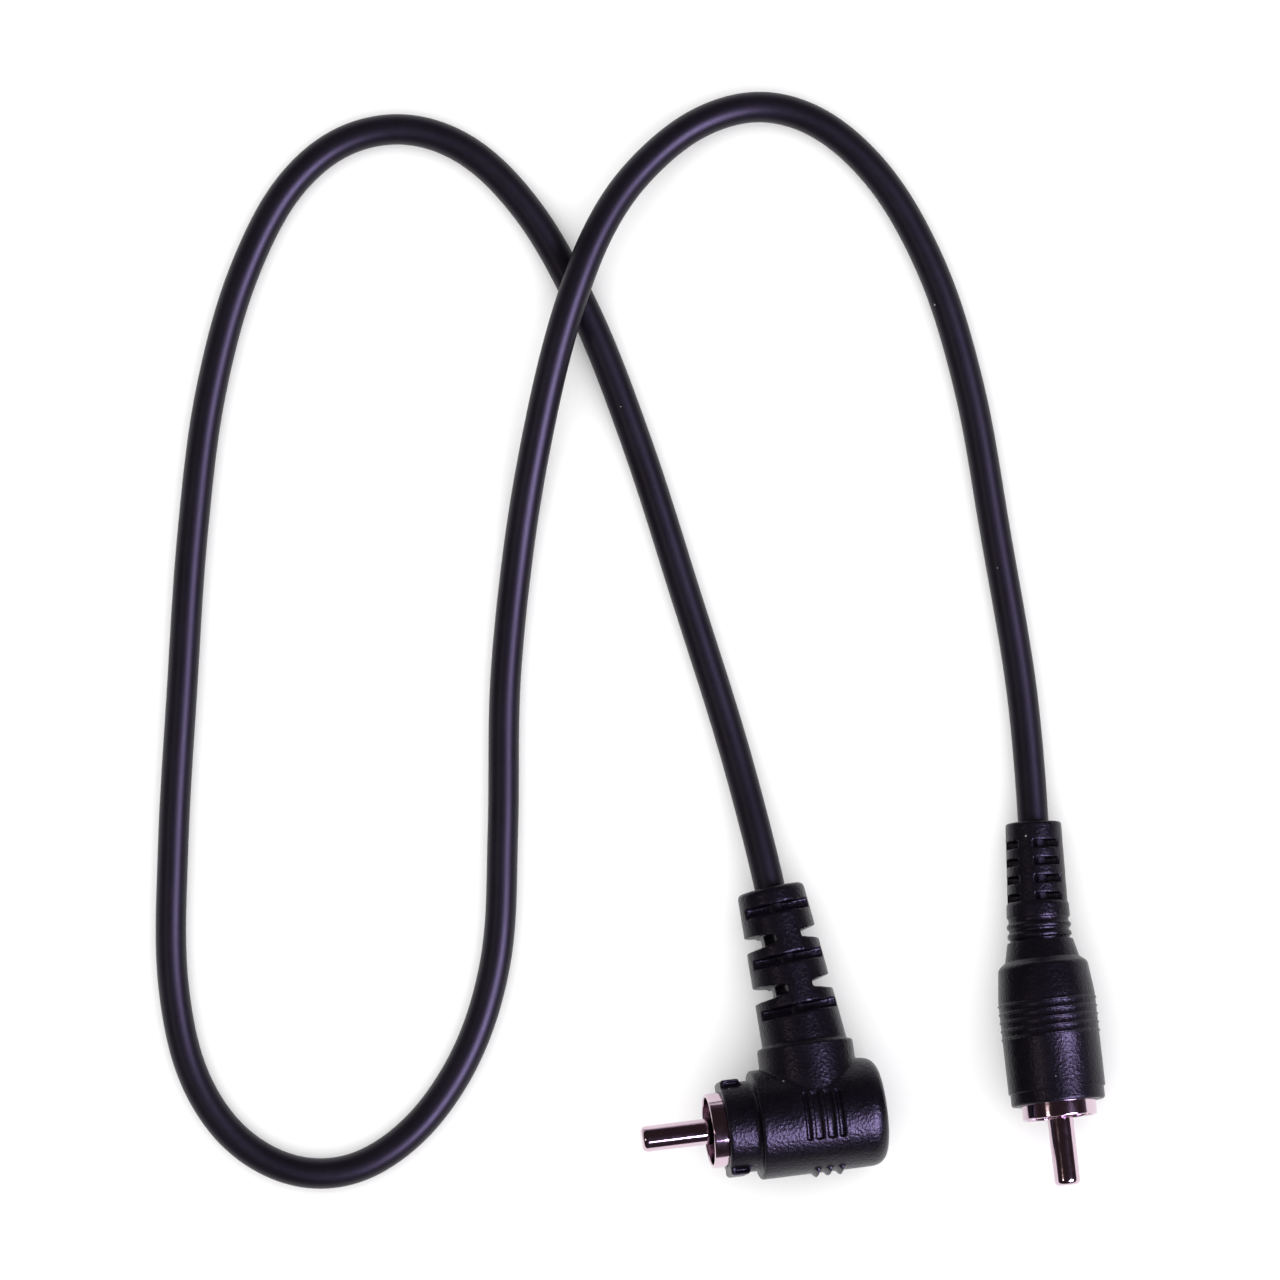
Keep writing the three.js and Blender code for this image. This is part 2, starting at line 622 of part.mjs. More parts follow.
// A cup behind the shell, closed at the far end, with a boss that takes the cable's end.
function angleInnerMould() {
  const end = NOSE_OFFSET + INNER_REACH;
  const bore = INNER_RADIUS - INNER_WALL;
  const cup = alongBarrel(rod(INNER_RADIUS, INNER_START, end));
  const boss = rod(INNER_BOSS_RADIUS, 0, INNER_BOSS_END, 20);
  const room = alongBarrel(rod(bore, INNER_START - 1, end - INNER_WALL));
  const hole = rod(CABLE_HOLE, 0, INNER_BOSS_END + 1, 16);
  return geometryOf(cut(join(solid(cup), solid(boss)), solid(room), solid(hole)));
}

function anglePlug() {
  const plug = new THREE.Group();
  plug.add(
    piece("angle_overmould", geometryOf(angleOvermould()), moulding),
    piece("angle_inner_mould", angleInnerMould(), natural),
    piece("angle_ground_solder", solderDrop(DROP_RADIUS, DROP_PLACE - NOSE_OFFSET, DROP_OFFSET), solder),
    piece("angle_shield_tail", shieldTail(
      [-TAIL_OFFSET, JACKET_STRIP - GAP],
      [-TAIL_OFFSET, TAG_OFFSET],
      [TAIL_PLACE - NOSE_OFFSET, DROP_OFFSET],
    ), copper),
  );
  const contacts = new THREE.Group();
  contacts.rotation.z = -Math.PI / 2;
  contacts.position.x = -NOSE_OFFSET;
  addContacts(contacts, "angle", NOSE_OFFSET);
  plug.add(contacts);
  return plug;
}

// Placing ------------------------------------------------------------------------------------

// Turns a plug as it lies, and lowers it until it rests on the plane.
function setDown(plug, place, rollDegrees) {
  plug.rotation.set(rad(-place.tailDown), rad(rollDegrees), rad(place.turn), "ZXY");
  plug.position.set(place.x, place.y, 0);
  plug.updateMatrixWorld(true);
  plug.position.z = -new THREE.Box3().setFromObject(plug, true).min.z;
  plug.updateMatrixWorld(true);
  return plug;
}

// Cable --------------------------------------------------------------------------------------

// The cable's line, with the same stations for every layer, so that the layers nest. Only the
// first and the last station differ: they are where a layer is stripped inside the plugs.
class CableLine extends THREE.Curve {
  constructor(firstEnd, shared, lastEnd) {
    super();
    this.stations = [firstEnd, ...shared, lastEnd];
  }

  getPointAt(share, target = new THREE.Vector3()) {
    return target.copy(this.stations[Math.round(share * (this.stations.length - 1))]);
  }

  getTangentAt(share, target = new THREE.Vector3()) {
    const last = this.stations.length - 1;
    const i = Math.round(share * last);
    const before = this.stations[Math.max(i - 1, 0)];
    const after = this.stations[Math.min(i + 1, last)];
    return target.subVectors(after, before).normalize();
  }

  getSpacedPoints() {
    return this.stations.map((station) => station.clone());
  }
}

// A point on a plug's cable axis, at a distance from its solder joint, in the object's frame.
function onCableAxis({ plug, joint, shape }, distance) {
  return plug.localToWorld(shape(new THREE.Vector3(joint.x, joint.y + distance, 0)));
}

function section(radius, bore) {
  const ring = (size, Kind) => {
    const outline = new Kind();
    for (let i = 0; i < CABLE_SIDES; i += 1) {
      const angle = (2 * Math.PI * i) / CABLE_SIDES;
      const point = [size * Math.cos(angle), size * Math.sin(angle)];
      if (i) outline.lineTo(...point);
      else outline.moveTo(...point);
    }
    return outline;
  };
  const shape = ring(radius, THREE.Shape);
  if (bore) shape.holes.push(ring(bore, THREE.Path));
  return shape;
}

function addCable(group, angle, straight) {
  const ends = [
    {
      plug: angle,
      joint: new THREE.Vector3(),
      shape: leanPlace,
      bend: NECK_TOP,
      tail: ANGLE_BOOT_LENGTH,
    },
    {
      plug: straight,
      joint: new THREE.Vector3(0, STRAIGHT_JOINT, 0),
      shape: bendPlace,
      bend: BEND_START + BEND_LENGTH / 2 - STRAIGHT_JOINT,
      tail: STRAIGHT_LENGTH - STRAIGHT_JOINT,
    },
  ];
  const [first, last] = ends.map((plugEnd) => ({
    buried: [JACKET_STRIP + SHARED_FROM, plugEnd.bend].map((distance) => onCableAxis(plugEnd, distance)),
    leaving: [plugEnd.tail, plugEnd.tail + LEAVING].map((distance) => onCableAxis(plugEnd, distance)),
  }));
  const free = ROUTE.map((place) => new THREE.Vector3(...place));
  const route = new THREE.CatmullRomCurve3(
    [...first.leaving, ...free, ...last.leaving.reverse()],
    false,
    "centripetal",
  );
  const shared = [...first.buried, ...route.getSpacedPoints(CABLE_STEPS), ...last.buried.reverse()];
  const layers = [
    ["cable_jacket", CABLE_RADIUS, JACKET_BORE, JACKET_STRIP, jacket],
    ["cable_shield", SHIELD_RADIUS, SHIELD_BORE, SHIELD_STRIP, copper],
    ["cable_dielectric", DIELECTRIC_RADIUS, DIELECTRIC_BORE, DIELECTRIC_STRIP, natural],
    ["cable_conductor", CONDUCTOR_RADIUS, 0, CONDUCTOR_STRIP, copper],
  ];
  for (const [name, radius, bore, strip, material] of layers) {
    const line = new CableLine(onCableAxis(ends[0], strip), shared, onCableAxis(ends[1], strip));
    const geometry = new THREE.ExtrudeGeometry(section(radius, bore), {
      steps: line.stations.length - 1,
      bevelEnabled: false,
      extrudePath: line,
    });
    group.add(piece(name, geometry, material));
  }
}

const lead = new THREE.Group();
const angle = setDown(anglePlug(), ANGLE_PLACE, ANGLE_PLACE.noseUp);
const straight = setDown(straightPlug(), STRAIGHT_PLACE, STRAIGHT_PLACE.roll);
lead.add(angle, straight);
addCable(lead, angle, straight);

export default lead;
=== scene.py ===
"""Looks of a moulded coaxial phono lead: a right-angle plug and a straight plug on one cord.

Each plug is built on its own axes in millimetres, as moulding and turning drawings give sizes,
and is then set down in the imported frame. Everything that reaches the scene is in metres, +Z up.
"""

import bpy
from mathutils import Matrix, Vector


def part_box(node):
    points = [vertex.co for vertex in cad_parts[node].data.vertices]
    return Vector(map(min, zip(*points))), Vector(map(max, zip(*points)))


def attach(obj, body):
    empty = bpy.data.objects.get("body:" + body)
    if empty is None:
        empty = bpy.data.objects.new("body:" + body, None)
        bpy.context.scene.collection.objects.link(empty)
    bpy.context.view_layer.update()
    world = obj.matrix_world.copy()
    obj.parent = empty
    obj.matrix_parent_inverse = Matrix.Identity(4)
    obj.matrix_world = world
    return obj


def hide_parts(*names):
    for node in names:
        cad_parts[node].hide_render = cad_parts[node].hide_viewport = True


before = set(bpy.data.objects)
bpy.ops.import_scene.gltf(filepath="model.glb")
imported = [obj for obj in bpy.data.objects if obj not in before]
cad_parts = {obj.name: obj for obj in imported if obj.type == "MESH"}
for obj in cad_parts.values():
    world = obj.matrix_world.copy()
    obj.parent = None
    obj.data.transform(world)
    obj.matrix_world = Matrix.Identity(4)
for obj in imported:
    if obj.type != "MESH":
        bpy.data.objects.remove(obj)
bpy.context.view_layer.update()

import logging
import math
from collections.abc import Callable, Sequence
from dataclasses import dataclass, field
from enum import Enum

import bpy
import numpy as np
from mathutils import Matrix, Vector

LOG = logging.getLogger("phono_lead")
MM = 0.001
CREASE = 35  # degrees, beyond which an edge stays crisp

Point = tuple[float, float, float]
Corner = tuple[float, float, float]  # radius, height and rounding
Outline = Sequence[tuple[float, float]]
Colour = tuple[float, float, float, float]
Piece = bpy.types.Object
Material = bpy.types.Material
Materials = dict[str, Material]  # by slot
Socket = bpy.types.NodeSocket
Value = Socket | float


# Meshes ---------------------------------------------------------------


class Joining(Enum):
    """How two closed bodies are put together."""

    ADD = "UNION"
    CUT = "DIFFERENCE"
    KEEP = "INTERSECT"


def rounded(corners: Sequence[Corner], steps: int = 6) -> list[tuple[float, float]]:
    """Rounds the corners of an outline.

    Args:
        corners: Radius, height and rounding of each corner in turn.
        steps: Number of short lines that make one rounding.

    Returns:
        The outline's points as radius and height.
    """
    points, most = [], 0.48  # of a side's length, for one rounding
    for i, (radius, height, rounding) in enumerate(corners):
        here = Vector((radius, height))
        if rounding <= 0:
            points.append((radius, height))
            continue
        back = Vector(corners[i - 1][:2]) - here
        onward = Vector(corners[(i + 1) % len(corners)][:2]) - here
        reach = rounding / math.tan(back.angle(onward) / 2)
        reach = min(reach, most * back.length, most * onward.length)
        start, end = here + back.normalized() * reach, here + onward.normalized() * reach
        for step in range(steps + 1):
            t = step / steps
            spot = start * (1 - t) ** 2 + here * 2 * t * (1 - t) + end * t**2
            points.append((spot.x, spot.y))
    return points


def mesh_object(name: str, vertices: Sequence, faces: Sequence) -> Piece:
    """Makes an object from vertices and faces.

    Args:
        name: The object's name.
        vertices: Places of the vertices.
        faces: Vertex numbers of each face.

    Returns:
        The new object, linked into the scene.
    """
    mesh = bpy.data.meshes.new(name)
    mesh.from_pydata([tuple(map(float, v)) for v in vertices], [], [tuple(f) for f in faces])
    mesh.update()
    made = bpy.data.objects.new(name, mesh)
    bpy.context.scene.collection.objects.link(made)
    return made


def turned(name: str, outline: Outline, sides: int) -> Piece:
    """Turns a closed outline about Y.

    Args:
        name: The object's name.
        outline: Radius and height of each point, running from low to high on the outside. Points
            with no radius lie on the axis.
        sides: Number of sides round the axis.

    Returns:
        The closed turned body.
    """
    vertices, rings = [], []
    for radius, height in outline:
        count = 1 if radius < 1e-6 else sides
        rings.append(list(range(len(vertices), len(vertices) + count)))
        for k in range(count):
            angle = 2 * math.pi * k / sides
            vertices.append((radius * math.cos(angle), height, radius * math.sin(angle)))
    faces = []
    for a, b in zip(rings, rings[1:] + rings[:1]):
        if len(a) == len(b) == 1:
            continue
        for k in range(sides):
            n = (k + 1) % sides
            if len(a) == 1:
                faces.append((a[0], b[k], b[n]))
            elif len(b) == 1:
                faces.append((a[k], b[0], a[n]))
            else:
                faces.append((a[k], b[k], b[n], a[n]))
    return mesh_object(name, vertices, faces)


def rod(radius: float, start: float, end: float, sides: int = 96) -> Piece:
    """Makes a plain round tool about Y, used only to cut or join."""
    return turned("rod", [(0, start), (radius, start), (radius, end), (0, end)], sides)


def prism(outline: Outline, low: float, high: float) -> Piece:
    """Makes an upright body from an outline.

    Args:
        outline: X and Y of each corner, counter-clockwise.
        low: Height of its underside.
        high: Height of its top.

    Returns:
        The closed body.
    """
    count = len(outline)
    vertices = [(x, y, z) for z in (low, high) for x, y in outline]
    sides = [(i, (i + 1) % count, count + (i + 1) % count, count + i) for i in range(count)]
    ends = [tuple(reversed(range(count))), tuple(range(count, 2 * count))]
    return mesh_object("prism", vertices, sides + ends)


def block(size: Point, middle: Point) -> Piece:
    """Makes a plain block, used only to cut or join.

    Args:
        size: Its width, depth and height.
        middle: Where its middle lies.

    Returns:
        The closed body.
    """
    (w, d, h), (x, y, z) = size, middle
    corners = [(x + i * w / 2, y + k * d / 2) for i, k in ((-1, -1), (1, -1), (1, 1), (-1, 1))]
    return prism(corners, z - h / 2, z + h / 2)


def settle(body: Piece) -> None:
    """Makes the result of a body's modifiers its own mesh.

    Args:
        body: The body, which loses its modifiers.
    """
    result = body.evaluated_get(bpy.context.evaluated_depsgraph_get())
    mesh = bpy.data.meshes.new_from_object(result)
    body.modifiers.clear()
    body.data = mesh


def move(body: Piece, matrix: Matrix) -> Piece:
    """Moves a body's vertices and gives the body back."""
    body.data.transform(matrix)
    return body


def combine(body: Piece, how: Joining, *tools: Piece) -> Piece:
    """Joins closed bodies into one.

    Args:
        body: The body that is kept.
        how: Whether the tools are added to it, cut from it, or what it is kept inside.
        *tools: The other bodies, which are used up.

    Returns:
        The body.
    """
    for tool in tools:
        boolean = body.modifiers.new("join", "BOOLEAN")
        boolean.operation, boolean.solver, boolean.object = how.value, "MANIFOLD", tool
        settle(body)
        bpy.data.objects.remove(tool)
    return body


def soften(body: Piece, grain: float, passes: int) -> None:
    """Covers a body with an even fine skin whose edges are rounded, as a moulding's are.

    Args:
        body: The body, in millimetres.
        grain: Size of the skin's facets.
        passes: How many times the skin is smoothed.
    """
    skin = body.modifiers.new("skin", "REMESH")
    skin.mode, skin.voxel_size = "VOXEL", grain
    smooth = body.modifiers.new("smooth", "SMOOTH")
    smooth.factor, smooth.iterations = 0.5, passes
    settle(body)


def warp(body: Piece, carry: Callable[[np.ndarray], np.ndarray]) -> None:
    """Moves every vertex of a body.

    Args:
        body: The body.
        carry: Gives the new places for the old ones, row by row.
    """
    places = np.empty(3 * len(body.data.vertices))
    body.data.vertices.foreach_get("co", places)
    body.data.vertices.foreach_set("co", carry(places.reshape(-1, 3)).ravel())
    body.data.update()


def finish_piece(body: Piece, name: str, matrix: Matrix) -> Piece:
    """Sets a piece down in the scene with smooth faces and crisp creases.

    Args:
        body: The piece, on its own axes in millimetres.
        name: The piece's name.
        matrix: Carries its axes into the scene's, in metres.

    Returns:
        The piece.
    """
    move(body, matrix)
    body.name = body.data.name = name
    body.data.shade_smooth()
    body.data.set_sharp_from_angle(angle=math.radians(CREASE))
    return body


# Shader graphs --------------------------------------------------------


@dataclass
class Graph:
    """Adds nodes to a tree and joins them."""

    tree: bpy.types.NodeTree

    def node(self, kind: str, inputs: dict | None = None, **settings: object) -> bpy.types.Node:
        """Adds a node.

        Args:
            kind: The node's type.
            inputs: Sockets or plain values for its inputs, by name or number.
            **settings: The node's own settings.

        Returns:
            The node.
        """
        made = self.tree.nodes.new(kind)
        for key, value in settings.items():
            setattr(made, key, value)
        for key, value in (inputs or {}).items():
            if isinstance(value, Socket):
                self.tree.links.new(value, made.inputs[key])
            else:
                made.inputs[key].default_value = value
        return made

    def math(self, operation: str, a: Value, b: Value = 0.0, clamp: bool = False) -> Socket:
        """Works out one number from two."""
        made = self.node("ShaderNodeMath", {0: a, 1: b}, operation=operation, use_clamp=clamp)
        return made.outputs[0]

    def ramp(self, value: Value, low: float, high: float,
             to_low: float = 0.0, to_high: float = 1.0) -> Socket:
        """Spreads the range of a value over another range, with clamped ends."""
        inputs = {"Value": value, "From Min": low, "From Max": high,
                  "To Min": to_low, "To Max": to_high}
        return self.node("ShaderNodeMapRange", inputs).outputs["Result"]

    def blend(self, share: Value, low: Socket | Colour, high: Socket | Colour) -> Socket:
        """Mixes two colours."""
        mix = self.node("ShaderNodeMix", {0: share, 6: low, 7: high}, data_type="RGBA")
        return mix.outputs[2]

    def noise(self, place: Socket, scale: Value, detail: float = 2.0,
              roughness: float = 0.5) -> Socket:
        """Adds soft noise at a place."""
        inputs = {"Vector": place, "Scale": scale, "Detail": detail, "Roughness": roughness}
        return self.node("ShaderNodeTexNoise", inputs).outputs["Fac"]

    def place(self) -> Socket:
        """Gives the place on the object, in metres."""
        return self.node("ShaderNodeTexCoord").outputs["Object"]

    def feed(self, shader: bpy.types.Node, **sockets: Socket) -> None:
        """Joins sockets to a shader's inputs, which are named with underscores for spaces."""
        for label, socket in sockets.items():
            self.tree.links.new(socket, shader.inputs[label.replace("_", " ")])


@dataclass(frozen=True)
class Effect:
    """A surface effect that several finishes share, built once as a node group."""

    name: str
    inputs: tuple[tuple[str, float], ...]
    outputs: tuple[str, ...]
    wiring: Callable[[Graph, dict[str, Socket]], dict[str, Socket]]

    def group(self) -> bpy.types.NodeTree:
        """Builds the group, or finds it.

        Returns:
            The node group.
        """
        if self.name in bpy.data.node_groups:
            return bpy.data.node_groups[self.name]
        tree = bpy.data.node_groups.new(self.name, "ShaderNodeTree")
        for label, value in self.inputs:
            socket = tree.interface.new_socket(label, in_out="INPUT", socket_type="NodeSocketFloat")
            socket.default_value = value
        for label in self.outputs:
            tree.interface.new_socket(label, in_out="OUTPUT", socket_type="NodeSocketFloat")
        graph = Graph(tree)
        given = graph.node("NodeGroupInput")
        results = self.wiring(graph, {label: given.outputs[label] for label, _ in self.inputs})
        graph.node("NodeGroupOutput", results)
        return tree

    def use(self, graph: Graph, **values: float) -> dict[str, Socket]:
        """Places the effect in a material.

        Args:
            graph: The material's graph.
            **values: Values of the named inputs, with spaces written as underscores.

        Returns:
            The effect's outputs by name.
        """
        made = graph.node("ShaderNodeGroup", node_tree=self.group())
        for label, value in values.items():
            made.inputs[label.replace("_", " ")].default_value = value
        return {label: made.outputs[label] for label in self.outputs}


def _grain(graph: Graph, given: dict[str, Socket]) -> dict[str, Socket]:
    """Wires the texture of a spark-eroded mould: small craters with finer ones over slow waves.

    Args:
        graph: The group's graph.
        given: The group's inputs.

    Returns:
        Height and Pits.
    """
    place, finer, slower = graph.place(), 2.6, 0.09
    scale = graph.math("DIVIDE", 1.0, given["Size"])
    craters = graph.noise(place, scale, 1.2, 0.45)
    fine = graph.noise(place, graph.math("MULTIPLY", scale, finer), 1.0, 0.5)
    slow = graph.noise(place, graph.math("MULTIPLY", scale, slower), 1.0)
    height = graph.math("ADD", craters, graph.math("MULTIPLY", fine, 0.25))
    height = graph.math("ADD", height, graph.math("MULTIPLY", slow, given["Waviness"]))
    return {"Height": height, "Pits": graph.ramp(craters, 0.35, 0.65, 1.0, 0.0)}


def _wear(graph: Graph, given: dict[str, Socket]) -> dict[str, Socket]:
    """Wires the polish that handling leaves on edges, broken up by noise.

    Args:
        graph: The group's graph.
        given: The group's inputs.

    Returns:
        Worn.
    """
    edge = graph.node("ShaderNodeNewGeometry").outputs["Pointiness"]
    flat, patches, unevenness = 0.5, 1400.0, 0.06
    start = graph.math("ADD", flat, given["Sharpness"])
    broken = graph.math("SUBTRACT", graph.noise(graph.place(), patches, 3.0, 0.6), 0.5)
    start = graph.math("ADD", start, graph.math("MULTIPLY", broken, unevenness))
    raised = graph.math("SUBTRACT", edge, start)
    return {"Worn": graph.math("MULTIPLY", raised, given["Strength"], clamp=True)}


def _dust(graph: Graph, given: dict[str, Socket]) -> dict[str, Socket]:
    """Wires sparse specks of dust on the faces that look up.

    Args:
        graph: The group's graph.
        given: The group's inputs.

    Returns:
        Specks.
    """
    cells = graph.node("ShaderNodeTexVoronoi", {"Vector": graph.place(), "Scale": given["Density"]})
    pick = graph.node("ShaderNodeSeparateColor", {"Color": cells.outputs["Color"]})
    chosen = graph.math("LESS_THAN", pick.outputs["Red"], given["Amount"])
    largest = 0.12  # of a cell
    size = graph.math("MULTIPLY", pick.outputs["Green"], largest)
    speck = graph.math("LESS_THAN", cells.outputs["Distance"], size)
    normal = graph.node("ShaderNodeNewGeometry").outputs["Normal"]
    upward = graph.node("ShaderNodeSeparateXYZ", {"Vector": normal}).outputs["Z"]
    lying = graph.ramp(upward, 0.1, 0.5)
    return {"Specks": graph.math("MULTIPLY", graph.math("MULTIPLY", chosen, speck), lying)}


def _smudge(graph: Graph, given: dict[str, Socket]) -> dict[str, Socket]:
    """Wires broad cloudy differences of gloss, from fingers and from the mould.

    Args:
        graph: The group's graph.
        given: The group's inputs.

    Returns:
        Cloud.
    """
    broad = graph.noise(graph.place(), graph.math("DIVIDE", 1.0, given["Size"]), 3.0, 0.55)
    small = graph.noise(graph.place(), graph.math("DIVIDE", 6.0, given["Size"]), 2.0, 0.5)
    cloud = graph.math("ADD", graph.math("MULTIPLY", broad, 0.7), graph.math("MULTIPLY", small, 0.3))
    return {"Cloud": graph.ramp(cloud, 0.32, 0.68)}


SPARK_GRAIN = Effect("spark_grain", (("Size", 0.0004), ("Waviness", 0.6)), ("Height", "Pits"), _grain)
EDGE_WEAR = Effect("edge_wear", (("Sharpness", 0.05), ("Strength", 8.0)), ("Worn",), _wear)
DUST = Effect("dust", (("Density", 900.0), ("Amount", 0.05)), ("Specks",), _dust)
SMUDGE = Effect("smudge", (("Size", 0.006),), ("Cloud",), _smudge)


def new_material(name: str) -> tuple[Material, Graph, bpy.types.Node]:
    """Makes a material with a shader and an output.

    Args:
        name: The material's name.

    Returns:
        The material, its graph and its shader node.
    """
    material = bpy.data.materials.new(name)
    material.use_nodes = True
    material.node_tree.nodes.clear()
    graph = Graph(material.node_tree)
    shader = graph.node("ShaderNodeBsdfPrincipled")
    graph.node("ShaderNodeOutputMaterial", {"Surface": shader.outputs["BSDF"]})
    return material, graph, shader


@dataclass(frozen=True)
class SoftPlastic:
    """Flexible vinyl that was moulded or drawn, with its grain, wear and dust."""

    name: str
    colour: Colour
    worn_colour: Colour
    gloss: tuple[float, float]  # roughness, polished and matt
    grain_size: float
    grain_depth: float
    waviness: float = 0.15
    streaks: bool = False  # drawing lines along the piece, on its own UV map
    dust: float = 0.05
    shine: float = 0.2
    shine_tint: Colour = (0.86, 0.78, 1.0, 1)
    dust_colour: Colour = (0.3, 0.29, 0.28, 1)

    def make(self) -> Material:
        """Builds the material.

        Returns:
            The material.
        """
        material, graph, shader = new_material(self.name)
        grain = SPARK_GRAIN.use(graph, Size=self.grain_size, Waviness=self.waviness)
        worn = EDGE_WEAR.use(graph)["Worn"]
        cloud = SMUDGE.use(graph)["Cloud"]
        specks = DUST.use(graph, Amount=self.dust)["Specks"]
        tint = graph.blend(graph.math("MULTIPLY", cloud, 0.5), self.colour, self.worn_colour)
        tint = graph.blend(graph.math("MULTIPLY", worn, 0.8), tint, self.worn_colour)
        tint = graph.blend(graph.math("MULTIPLY", specks, 0.7), tint, self.dust_colour)
        shader.inputs["Specular IOR Level"].default_value = self.shine
        shader.inputs["Specular Tint"].default_value = self.shine_tint
        low, high = self.gloss
        rough = graph.ramp(graph.math("ADD", cloud, grain["Pits"]), 0.0, 2.0, low, high)
        rough = graph.math("ADD", rough, graph.math("MULTIPLY", specks, 0.3), clamp=True)
        height = grain["Height"]
        if self.streaks:
            along = graph.node("ShaderNodeUVMap", uv_map="length").outputs["UV"]
            stretched = graph.node("ShaderNodeMapping", {"Vector": along, "Scale": (40.0, 60.0, 1.0)})
            drawn = graph.noise(stretched.outputs["Vector"], 1.0, 3.0, 0.6)
            height = graph.math("ADD", height, graph.math("MULTIPLY", drawn, 0.8))
        bump = graph.node("ShaderNodeBump", {"Height": height, "Distance": self.grain_depth})
        graph.feed(shader, Base_Color=tint, Roughness=rough, Normal=bump.outputs["Normal"])
        return material


@dataclass(frozen=True)
class PlatedMetal:
    """Bare or plated metal with a fine grain, tarnish and rubbed edges."""

    name: str
    colour: Colour
    tarnish: Colour
    gloss: tuple[float, float]
    tarnished: float = 0.25
    lines: float = 0.000002

    def make(self) -> Material:
        """Builds the material.

        Returns:
            The material.
        """
        material, graph, shader = new_material(self.name)
        shader.inputs["Metallic"].default_value = 1.0
        cloud = SMUDGE.use(graph, Size=0.003)["Cloud"]
        grain = SPARK_GRAIN.use(graph, Size=0.0009, Waviness=0.3)
        worn = EDGE_WEAR.use(graph, Sharpness=0.03)["Worn"]
        dull = graph.math("MULTIPLY", graph.math("SUBTRACT", cloud, worn, clamp=True), self.tarnished)
        tint = graph.blend(dull, self.colour, self.tarnish)
        rough = graph.ramp(graph.math("ADD", cloud, grain["Pits"]), 0.0, 2.0, *self.gloss)
        bump = graph.node("ShaderNodeBump", {"Height": grain["Height"], "Distance": self.lines})
        graph.feed(shader, Base_Color=tint, Roughness=rough, Normal=bump.outputs["Normal"])
        return material


MOULDING = SoftPlastic(
    "moulded_vinyl", (0.0018, 0.0014, 0.0024, 1), (0.004, 0.0032, 0.0055, 1), (0.26, 0.39),
    grain_size=0.00038, grain_depth=0.00006)
JACKET = SoftPlastic(
    "cord_vinyl", (0.003, 0.0025, 0.004, 1), (0.007, 0.0055, 0.0095, 1), (0.38, 0.45),
    grain_size=0.0004, grain_depth=0.000006, waviness=0.4, streaks=True, dust=0.03)
INSULATOR = SoftPlastic(
    "insulator_plastic", (0.004, 0.0035, 0.004, 1), (0.01, 0.009, 0.011, 1), (0.25, 0.4),
    grain_size=0.0005, grain_depth=0.000008)
NATURAL = SoftPlastic(
    "natural_polythene", (0.62, 0.6, 0.54, 1), (0.7, 0.68, 0.63, 1), (0.3, 0.5),
    grain_size=0.0006, grain_depth=0.00001)
NICKEL = PlatedMetal("nickel_plate", (0.58, 0.45, 0.53, 1), (0.42, 0.33, 0.33, 1), (0.06, 0.13))
TINNED = PlatedMetal("tinned_tag", (0.6, 0.58, 0.57, 1), (0.4, 0.36, 0.32, 1), (0.2, 0.35))
COPPER = PlatedMetal(
    "copper_wire", (0.78, 0.36, 0.2, 1), (0.35, 0.14, 0.07, 1), (0.2, 0.4), 0.6, 0.00001)
SOLDER = PlatedMetal(
    "solder", (0.55, 0.55, 0.56, 1), (0.32, 0.31, 0.3, 1), (0.25, 0.45), 0.5, 0.00001)


def dress(piece: Piece, material: Material) -> None:
    """Gives a piece its material, in every slot that it has.

    Args:
        piece: The piece.
        material: Its material.
    """
    if not piece.data.materials:
        piece.data.materials.append(material)
    for slot in piece.material_slots:
        slot.material = material


def stand_for(piece: Piece, node: str, material: Material) -> None:
    """Puts a piece in a CAD node's stead.

    Args:
        piece: The piece.
        node: The node that it replaces.
        material: Its material.
    """
    dress(piece, material)
    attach(piece, "root")
    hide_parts(node)
    LOG.info("%s: %d faces", piece.name, len(piece.data.polygons))


# Plugs ----------------------------------------------------------------


@dataclass(frozen=True)
class PlugPlace:
    """How a plug lies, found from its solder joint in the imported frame."""

    name: str
    turn: float
    roll: float
    tail_down: float
    joint: float  # the joint's middle from the plug's origin, along +Y

    def matrix(self) -> Matrix:
        """Carries the plug's millimetres into the scene.

        Returns:
            The matrix.
        """
        turning = (
            Matrix.Rotation(math.radians(self.turn), 4, "Z")
            @ Matrix.Rotation(math.radians(-self.tail_down), 4, "X")
            @ Matrix.Rotation(math.radians(self.roll), 4, "Y")
            @ Matrix.Scale(MM, 4)
        )
        low, high = (Vector(corner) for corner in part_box(self.name + "_pin_solder"))
        origin = (low + high) / 2 - turning @ Vector((0, self.joint, 0))
        return Matrix.Translation(origin) @ turning


